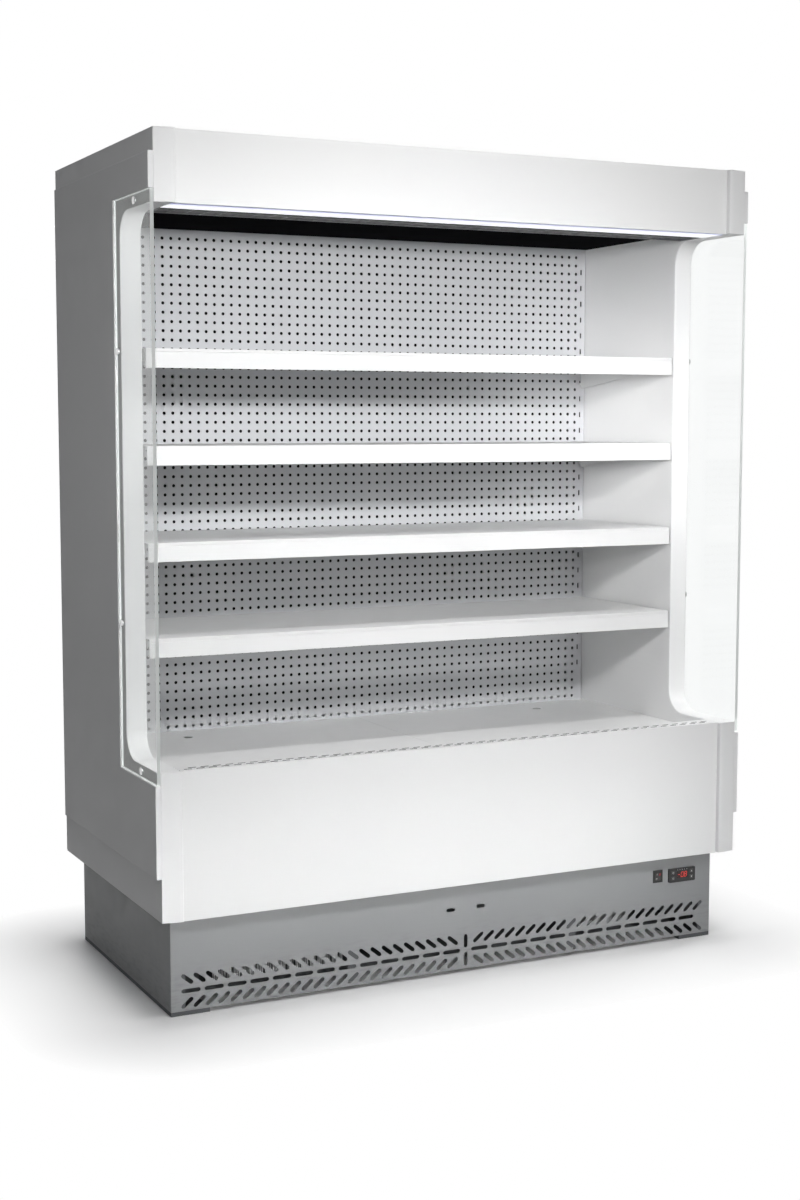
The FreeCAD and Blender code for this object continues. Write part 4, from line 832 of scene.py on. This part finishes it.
@dataclass
class PunchedBack:
    """The back sheet with its round air holes, hook slots and folded ledge."""

    columns: int = 61
    rows: int = 55
    pitch: float = 0.0234
    hole: float = 0.009
    top_row: float = 1.823
    slot_span: float = 1.438
    slot_pitch: float = 0.045
    slot_columns: int = 2
    slot_rows: int = 26
    slot_low: float = 0.657
    slot_size: Flat = (0.0045, 0.014)
    sheet: float = 0.0015
    weld: float = 0.00001
    node: str = "back_panel"

    def cell(self, name: str, size: Flat, outline: list[Flat]) -> bpy.types.Object:
        """Makes one patch of sheet with a hole through it.

        Args:
            name: The patch's name.
            size: Its width and height.
            outline: The corners of its hole, one for each point of the compass, from the right and up.

        Returns:
            The patch, open at its outer edges, standing in XZ.
        """
        half = (size[0] / 2, size[1] / 2)
        shape = bmesh.new()
        loops = []
        for depth in (0.0, self.sheet):
            outer = [shape.verts.new((half[0] * x, depth, half[1] * z)) for x, z in COMPASS]
            inner = [shape.verts.new((x, depth, z)) for x, z in outline]
            loops.append((outer, inner))
        (front_outer, front_inner), (back_outer, back_inner) = loops
        for i in range(len(COMPASS)):
            j = (i + 1) % len(COMPASS)
            shape.faces.new((front_outer[i], front_outer[j], front_inner[j], front_inner[i]))
            shape.faces.new((back_outer[j], back_outer[i], back_inner[i], back_inner[j]))
            shape.faces.new((front_inner[i], front_inner[j], back_inner[j], back_inner[i]))
        return new_piece(name, shape, SHELF.get(BACK_SHEET))

    def tree(self) -> bpy.types.GeometryNodeTree:
        """Builds the tree that repeats a patch over a grid."""
        asked = {
            "Patch": "Object",
            "Columns": "Int",
            "Rows": "Int",
            "Pitch Across": "Float",
            "Pitch Up": "Float",
            "Centre": "Vector",
            "Finish": "Material",
        }
        sockets = {"Sheet": "Geometry"}
        wiring, given, result = start_group("punched sheet", "GeometryNodeTree", asked, sockets)
        spans = []
        for count, pitch in (("Columns", "Pitch Across"), ("Rows", "Pitch Up")):
            spans.append(wiring.sum("MULTIPLY", wiring.sum("SUBTRACT", given[count], 1.0), given[pitch]))
        grid = wiring.add("GeometryNodeMeshGrid", Size_X=spans[0], Size_Y=spans[1])
        wiring.supply(grid, Vertices_X=given["Columns"], Vertices_Y=given["Rows"])
        upright = wiring.add("GeometryNodeTransform", Geometry=grid.outputs["Mesh"])
        wiring.supply(upright, Translation=given["Centre"], Rotation=(math.pi / 2, 0.0, 0.0))
        patch = wiring.add("GeometryNodeObjectInfo", Object=given["Patch"])
        spread = wiring.add("GeometryNodeInstanceOnPoints", Points=upright.outputs["Geometry"])
        wiring.supply(spread, Instance=patch.outputs["Geometry"])
        shown = spread.outputs["Instances"]
        for kind, inputs in (
            ("GeometryNodeRealizeInstances", {}),
            ("GeometryNodeMergeByDistance", {"Distance": self.weld}),
            ("GeometryNodeSetMaterial", {"Material": given["Finish"]}),
        ):
            shown = wiring.add(kind, Geometry=shown, **inputs).outputs["Geometry"]
        wiring.supply(result, Sheet=shown)
        return wiring.tree

    def repeat(self, tree: bpy.types.GeometryNodeTree, values: dict[str, object]) -> bpy.types.Mesh:
        """Runs the tree once.

        Args:
            tree: The punched sheet tree.
            values: Its inputs by name.

        Returns:
            The result as a plain mesh.
        """
        host = new_piece("punching", bmesh.new(), SHELF.get(BACK_SHEET))
        punching = host.modifiers.new("punched sheet", "NODES")
        punching.node_group = tree
        for item in tree.interface.items_tree:
            if item.in_out == "INPUT":
                punching[item.identifier] = values[item.name]
        host.data.update()
        shown = host.evaluated_get(bpy.context.evaluated_depsgraph_get())
        mesh = bpy.data.meshes.new_from_object(shown)
        bpy.data.objects.remove(host)
        return mesh

    def build(self) -> bpy.types.Object:
        """Builds the sheet from its punched fields and plain margins."""
        low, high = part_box(self.node)
        front = high.y - self.sheet
        finish = SHELF.get(BACK_SHEET)
        tree = self.tree()
        radius = self.hole / 2
        turns = [2 * math.pi * i / len(COMPASS) for i in range(len(COMPASS))]
        ring = [(radius * math.cos(turn), radius * math.sin(turn)) for turn in turns]
        wide, tall = self.slot_size[0] / 2, self.slot_size[1] / 2
        slot = [(wide * x, tall * z) for x, z in COMPASS]
        field_half = self.columns * self.pitch / 2
        margin = (self.slot_span / 2 - field_half) * 2
        patches = (
            self.cell("air_hole_patch", (self.pitch, self.pitch), ring),
            self.cell("hook_slot_patch", (margin, self.slot_pitch), slot),
        )
        middle = self.top_row - (self.rows - 1) * self.pitch / 2
        slot_middle = self.slot_low + (self.slot_rows - 1) * self.slot_pitch / 2
        grids = (
            (self.columns, self.rows, self.pitch, self.pitch, middle),
            (self.slot_columns, self.slot_rows, self.slot_span, self.slot_pitch, slot_middle),
        )
        shape = bmesh.new()
        for patch, (columns, rows, across, up, centre) in zip(patches, grids):
            values = {
                "Patch": patch,
                "Columns": columns,
                "Rows": rows,
                "Pitch Across": across,
                "Pitch Up": up,
                "Centre": (0.0, front, centre),
                "Finish": finish,
            }
            mesh = self.repeat(tree, values)
            shape.from_mesh(mesh)
            bpy.data.meshes.remove(mesh)
            bpy.data.objects.remove(patch)
        field_top = self.top_row + self.pitch / 2
        field_low = field_top - self.rows * self.pitch
        slot_top = slot_middle + self.slot_rows * self.slot_pitch / 2
        slot_low = slot_top - self.slot_rows * self.slot_pitch
        slot_edge = field_half + margin
        add_slab(shape, (-field_half, front, field_top), (field_half, high.y, high.z))
        add_slab(shape, (-field_half, front, low.z + self.sheet), (field_half, high.y, field_low))
        add_slab(shape, (low.x, low.y, low.z), (high.x, high.y, low.z + self.sheet))
        for side in (-1, 1):
            near, far = sorted((side * field_half, side * slot_edge))
            add_slab(shape, (near, front, slot_top), (far, high.y, high.z))
            add_slab(shape, (near, front, low.z + self.sheet), (far, high.y, slot_low))
            near, far = sorted((side * slot_edge, high.x if side > 0 else low.x))
            add_slab(shape, (near, front, low.z + self.sheet), (far, high.y, high.z))
        return new_piece("punched_back", shape, finish)

    def dress(self) -> None:
        """Puts the sheet in the plain panel's place."""
        sheet = self.build()
        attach(sheet, CABINET)
        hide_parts(self.node)
        LOG.info("made %s with %d faces", sheet.name, len(sheet.data.polygons))


class Printer:
    """Lays thin printed shapes on the front of a node, following its slope."""

    eye_depth: float = -2.0

    def __init__(self, node: str, thickness: float = 0.00012) -> None:
        """Reads the node's surface.

        Args:
            node: The node that carries the print.
            thickness: How far the print stands off it.
        """
        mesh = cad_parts[node].data
        points = [vertex.co.copy() for vertex in mesh.vertices]
        self.surface = BVHTree.FromPolygons(points, [tuple(face.vertices) for face in mesh.polygons])
        self.thickness = thickness
        self.shape = bmesh.new()

    def depth(self, x: float, z: float) -> float:
        """Finds the surface seen from the front.

        Args:
            x: Where across.
            z: Where up.

        Returns:
            Its depth.
        """
        hit = self.surface.ray_cast(Vector((x, self.eye_depth, z)), Vector((0.0, 1.0, 0.0)))[0]
        return hit.y

    def patch(self, outline: list[Flat]) -> None:
        """Adds one filled outline.

        Args:
            outline: Its corners as x and z, anticlockwise from the front.
        """
        depths = [self.depth(x, z) for x, z in outline]
        front = [self.shape.verts.new((x, y - self.thickness, z)) for (x, z), y in zip(outline, depths)]
        back = [self.shape.verts.new((x, y + self.thickness, z)) for (x, z), y in zip(outline, depths)]
        self.shape.faces.new(front)
        self.shape.faces.new(back[::-1])
        for i in range(len(outline)):
            j = (i + 1) % len(outline)
            self.shape.faces.new((front[j], front[i], back[i], back[j]))

    def bar(self, centre: Flat, size: Flat) -> None:
        """Adds a rectangle.

        Args:
            centre: Its middle.
            size: Its width and height.
        """
        wide, tall = size[0] / 2, size[1] / 2
        self.patch([(centre[0] + wide * x, centre[1] + tall * z) for x, z in CORNERS])

    def arc(self, centre: Flat, radius: float, width: float, sweep: Flat, steps: int) -> None:
        """Adds part of a ring.

        Args:
            centre: Its middle.
            radius: To the middle of the line.
            width: Of the line.
            sweep: Its first and last angle in degrees.
            steps: How many straight pieces it has.
        """
        start, end = sweep
        inner, outer = radius - width / 2, radius + width / 2
        for i in range(steps):
            turns = [math.radians(start + (end - start) * (i + k) / steps) for k in (0, 1)]
            corners = []
            for reach, turn in ((inner, turns[0]), (outer, turns[0]), (outer, turns[1]), (inner, turns[1])):
                corners.append((centre[0] + reach * math.cos(turn), centre[1] + reach * math.sin(turn)))
            self.patch(corners)

    def finish(self, name: str, body: str, finish: CoatFinish | GlowFinish, slot: Slot) -> None:
        """Makes the print a piece that rides on a body.

        Args:
            name: The piece's name.
            body: The body it moves with.
            finish: Its finish.
            slot: The record's slot that it follows; not used.
        """
        bmesh.ops.recalc_face_normals(self.shape, faces=self.shape.faces)
        piece = new_piece(name, self.shape, SHELF.get(finish))
        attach(piece, body)
        LOG.info("made %s on %s", name, body)


class Glyph(Enum):
    """What a place of the display shows, as the letters of its lit segments."""

    MINUS = "g"
    ZERO = "abcdef"
    EIGHT = "abcdefg"


@dataclass
class Display:
    """The three places of the controller's display."""

    node: str = "controller_window"
    glyphs: tuple[Glyph, ...] = (Glyph.MINUS, Glyph.ZERO, Glyph.EIGHT)
    point_after: int = 1
    width: float = 0.0066
    height: float = 0.0128
    pitch: float = 0.0102
    stroke: float = 0.0012
    slant: float = 0.12
    gap: float = 0.00022

    def segments(self, centre: Flat) -> dict[str, list[Flat]]:
        """Draws the seven segments of one place.

        Args:
            centre: Its middle.

        Returns:
            Each segment's outline by its letter.
        """
        wide, tall, half = self.width / 2, self.height / 2, self.stroke / 2
        ends = {
            "a": ((-wide, tall), (wide, tall)),
            "b": ((wide, tall), (wide, 0.0)),
            "c": ((wide, 0.0), (wide, -tall)),
            "d": ((-wide, -tall), (wide, -tall)),
            "e": ((-wide, 0.0), (-wide, -tall)),
            "f": ((-wide, tall), (-wide, 0.0)),
            "g": ((-wide, 0.0), (wide, 0.0)),
        }
        drawn = {}
        for letter, (start, end) in ends.items():
            along = Vector((end[0] - start[0], end[1] - start[1])).normalized()
            side = Vector((-along.y, along.x))
            first = Vector(start) + along * self.gap
            last = Vector(end) - along * self.gap
            corners = (
                first,
                first + (along - side) * half,
                last - (along + side) * half,
                last,
                last + (side - along) * half,
                first + (along + side) * half,
            )
            drawn[letter] = [(centre[0] + p.x + self.slant * p.y, centre[1] + p.y) for p in corners]
        return drawn

    def dress(self) -> None:
        """Lights the display and leaves its other segments dark."""
        low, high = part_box(self.node)
        lit, dark = Printer(self.node), Printer(self.node)
        middle = ((low.x + high.x) / 2, (low.z + high.z) / 2)
        middle_place = (len(self.glyphs) - 1) / 2
        for place, glyph in enumerate(self.glyphs):
            centre = (middle[0] + (place - middle_place) * self.pitch, middle[1])
            for letter, outline in self.segments(centre).items():
                (lit if letter in glyph.value else dark).patch(outline)
            point = (centre[0] + self.pitch / 2, centre[1] - self.height / 2)
            (lit if place == self.point_after else dark).bar(point, (self.stroke, self.stroke))
        lit.finish("display_digits", CABINET, DIGIT_LIT, Slot.WINDOW_PLASTIC)
        dark.finish("display_unlit", CABINET, DIGIT_DARK, Slot.WINDOW_PLASTIC)


@dataclass
class Controls:
    """The printed marks of the controller, its keys and the rocker switch."""

    symbol: float = 0.0022
    line: float = 0.0006
    lamp: float = 0.0011
    lamps: int = 5
    power_sweep: Flat = (125.0, 415.0)
    power_steps: int = 16
    power_stem_share: float = 1.2
    ring_steps: int = 20
    lamp_steps: int = 10
    lamp_fill_share: float = 0.9
    arrow_foot_share: float = 0.8
    arrow_tip_share: float = 1.1
    rocker_bar_shares: Flat = (0.3, 0.78)
    rocker_bar: Flat = (0.0012, 0.0046)
    rocker_ring_shares: Flat = (0.3, 0.2)
    rocker_ring: float = 0.0019
    rocker_line: float = 0.0007
    lens_shares: Flat = (0.72, 0.74)
    lens_size_shares: Flat = (0.26, 0.3)

    def key(self, name: str) -> None:
        """Prints one key's symbol.

        Args:
            name: The key's node, which is also its body.
        """
        low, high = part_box(name)
        x, z = (low.x + high.x) / 2, (low.z + high.z) / 2
        printer = Printer(name)
        if name == "power_key":
            printer.arc((x, z), self.symbol, self.line, self.power_sweep, self.power_steps)
            printer.bar((x, z + self.symbol), (self.line, self.symbol * self.power_stem_share))
        elif name == "set_key":
            printer.arc((x, z), self.symbol, self.line, FULL_TURN, self.ring_steps)
            printer.bar((x, z), (self.line * 2, self.line * 2))
        else:
            way = 1.0 if name == "up_key" else -1.0
            foot = z - way * self.symbol * self.arrow_foot_share
            tip = z + way * self.symbol * self.arrow_tip_share
            corners = [(x - self.symbol, foot), (x + self.symbol, foot), (x, tip)]
            printer.patch(corners if way > 0 else corners[::-1])
        printer.finish(f"{name}_symbol", name, PRINT_WHITE, Slot.KEY_PLASTIC)

    def lamp_row(self) -> None:
        """Prints the row of small lamps over the display."""
        low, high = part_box("controller_window")
        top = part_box("controller_body")[1].z
        printer = Printer("controller_body")
        for i in range(self.lamps):
            x = low.x + (high.x - low.x) * (i + 0.5) / self.lamps
            centre = (x, (high.z + top) / 2)
            line = self.lamp * self.lamp_fill_share
            printer.arc(centre, self.lamp / 2, line, FULL_TURN, self.lamp_steps)
        printer.finish("controller_lamps", CABINET, PRINT_WHITE, Slot.BLACK_PLASTIC)

    def rocker(self) -> None:
        """Prints the rocker's bar and ring, and sets its red lens."""
        low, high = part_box("rocker_switch")
        wide, tall = high.x - low.x, high.z - low.z
        places = (self.rocker_bar_shares, self.rocker_ring_shares, self.lens_shares)
        bar, ring, middle = ((low.x + across * wide, low.z + up * tall) for across, up in places)
        printer = Printer("rocker_switch")
        printer.bar(bar, self.rocker_bar)
        printer.arc(ring, self.rocker_ring, self.rocker_line, FULL_TURN, self.ring_steps)
        printer.finish("rocker_marks", "rocker_switch", PRINT_WHITE, Slot.BLACK_PLASTIC)
        lens = Printer("rocker_switch")
        lens.bar(middle, (self.lens_size_shares[0] * wide, self.lens_size_shares[1] * tall))
        lens.finish("rocker_lens", "rocker_switch", LENS_RED, Slot.BLACK_PLASTIC)

    def dress(self) -> None:
        """Prints every mark."""
        for name in ("set_key", "power_key", "up_key", "down_key"):
            self.key(name)
        self.lamp_row()
        self.rocker()


@dataclass
class Lamp:
    """One soft studio light."""

    name: str
    place: Place
    target: Place
    size: Flat
    power: float
    spread: float = math.pi

    def build(self) -> None:
        """Hangs the light and aims it."""
        light = bpy.data.lights.new(self.name, "AREA")
        light.shape = "RECTANGLE"
        light.size, light.size_y = self.size
        light.energy = self.power
        light.spread = self.spread
        lamp = bpy.data.objects.new(self.name, light)
        lamp.location = self.place
        lamp.rotation_euler = (Vector(self.target) - Vector(self.place)).to_track_quat("-Z", "Y").to_euler()
        bpy.context.scene.collection.objects.link(lamp)


@dataclass
class Studio:
    """The camera, lights, white world and pale floor."""

    eye: Place = (-2.0367, -4.0905, 1.3548)
    tilt: float = 0.096
    heading: float = -0.455
    lens: float = 53.18
    sensor: float = 36.0
    shift: Flat = (0.0099, -0.0058)
    ambient: Colour = (0.098, 0.1, 0.104)
    floor_half: float = 40.0
    floor_drop: float = 0.0006
    floor_lit: float = 0.95
    floor_dark: float = 0.25
    floor_glow: float = 0.12
    floor_rough: float = 0.9
    footprint: Flat = (0.75, 0.34)
    fade: Flat = (0.03, 0.36)
    shade_reach: float = 0.09
    lamps: list[Lamp] = field(
        default_factory=lambda: [
            Lamp("key", (-0.45, -2.1, 1.83), (0.0, 0.0, 1.15), (1.8, 0.16), 10.0, 1.4),
            Lamp("far_front", (1.6, -5.4, 2.1), (0.2, 0.0, 1.0), (0.75, 0.45), 16.0),
            Lamp("low_front", (-0.25, -2.6, 0.3), (-0.2, -0.37, 0.26), (1.9, 0.15), 1.6, 0.42),
            Lamp("overhead", (0.05, -1.6, 4.2), (0.05, -0.3, 0.6), (1.6, 0.3), 5.0, 1.0),
            Lamp("jamb_light", (-1.25, -1.95, 1.5), (0.735, 0.05, 1.38), (0.3, 0.3), 0.62, 0.36),
            Lamp("canopy_light", (0.0, -0.3, 1.822), (0.0, 0.0, 1.3), (1.4, 0.05), 0.7),
            Lamp("left_soft", (-1.6, -1.7, 1.2), (-0.8, -0.2, 1.0), (0.6, 1.0), 2.0),
            Lamp("rear_soft", (0.8, 5.5, 2.2), (0.0, 0.0, 1.0), (2.6, 2.2), 140.0),
            Lamp("side_soft", (5.5, 2.2, 2.0), (0.6, 0.2, 1.0), (2.0, 2.0), 120.0),
        ]
    )

    def camera(self) -> None:
        """Sets the camera at the photograph's angle."""
        lens = bpy.data.cameras.new("camera")
        lens.lens = self.lens
        lens.sensor_width = self.sensor
        lens.shift_x, lens.shift_y = self.shift
        camera = bpy.data.objects.new("camera", lens)
        camera.location = self.eye
        camera.rotation_euler = (math.pi / 2 - self.tilt, 0.0, self.heading)
        bpy.context.scene.collection.objects.link(camera)
        bpy.context.scene.camera = camera

    @staticmethod
    def seen(wiring: Wiring) -> bpy.types.NodeSocket:
        """Finds the rays that see the background itself.

        Args:
            wiring: The tree that needs them.

        Returns:
            One for camera rays, and for glossy and transmission rays that no matt surface has
            scattered, otherwise nought.
        """
        rays = wiring.add("ShaderNodeLightPath").outputs
        mirrored = wiring.sum("MAXIMUM", rays["Is Glossy Ray"], rays["Is Transmission Ray"])
        direct = wiring.sum("LESS_THAN", rays["Diffuse Depth"], 1.0)
        return wiring.sum("MAXIMUM", rays["Is Camera Ray"], wiring.sum("MULTIPLY", mirrored, direct))

    def world(self) -> None:
        """Shows a white world and lights softly with a dim one."""
        world = bpy.data.worlds.new("studio")
        bpy.context.scene.world = world
        world.use_nodes = True
        world.node_tree.nodes.clear()
        wiring = Wiring(world.node_tree)
        dim = wiring.add("ShaderNodeBackground", Color=(*self.ambient, 1.0))
        white = wiring.add("ShaderNodeBackground", Color=(*grey(1.0), 1.0))
        mix = wiring.mix(self.seen(wiring), dim, white)
        wiring.add("ShaderNodeOutputWorld", Surface=mix.outputs["Shader"])

    def floor(self) -> None:
        """Lays the pale floor, which keeps the shadow, loses its glow close to the footprint as a painted
        contact shadow, and fades to white further off.
        """
        shape = bmesh.new()
        half = self.floor_half
        shape.faces.new([shape.verts.new((half * x, half * y, -self.floor_drop)) for x, y in CORNERS])
        material, wiring, shader = start_material("pale_floor")
        outside = wiring.vector("ABSOLUTE", wiring.place())["Vector"]
        beyond = wiring.vector("SUBTRACT", outside, (*self.footprint, 0.0))["Vector"]
        away = wiring.vector("LENGTH", wiring.vector("MAXIMUM", beyond)["Vector"])["Value"]
        wiring.supply(shader, Base_Color=(*grey(self.floor_lit), 1.0), Roughness=self.floor_rough)
        wiring.supply(shader, Specular_IOR_Level=0.0)
        dark = wiring.add("ShaderNodeBsdfDiffuse", Color=(*grey(self.floor_dark), 1.0))
        # Painted contact shadow: the floor's glow falls to none under and close to the footprint.
        shaded = wiring.spread(away, (0.0, self.shade_reach), (0.0, self.floor_glow))
        glow = wiring.add("ShaderNodeEmission", Strength=shaded)
        near = wiring.add("ShaderNodeAddShader")
        wiring.feed(near.inputs[0], shader.outputs["BSDF"])
        wiring.feed(near.inputs[1], glow.outputs["Emission"])
        white = wiring.add("ShaderNodeEmission", Strength=1.0)
        pale = wiring.mix(wiring.spread(away, self.fade, UNIT), near, white)
        set_surface(material, wiring.mix(self.seen(wiring), dark, pale))
        new_piece("floor", shape, material)

    def build(self) -> None:
        """Sets up the whole studio."""
        self.camera()
        self.world()
        self.floor()
        for lamp in self.lamps:
            lamp.build()
        bpy.context.scene.view_settings.view_transform = "Standard"
        LOG.info("studio ready")


def main() -> None:
    """Builds the classes in order."""
    Studio().build()
    dress_frame()
    PunchedBack().dress()
    Display().dress()
    Controls().dress()


if __name__ == "__main__":
    main()
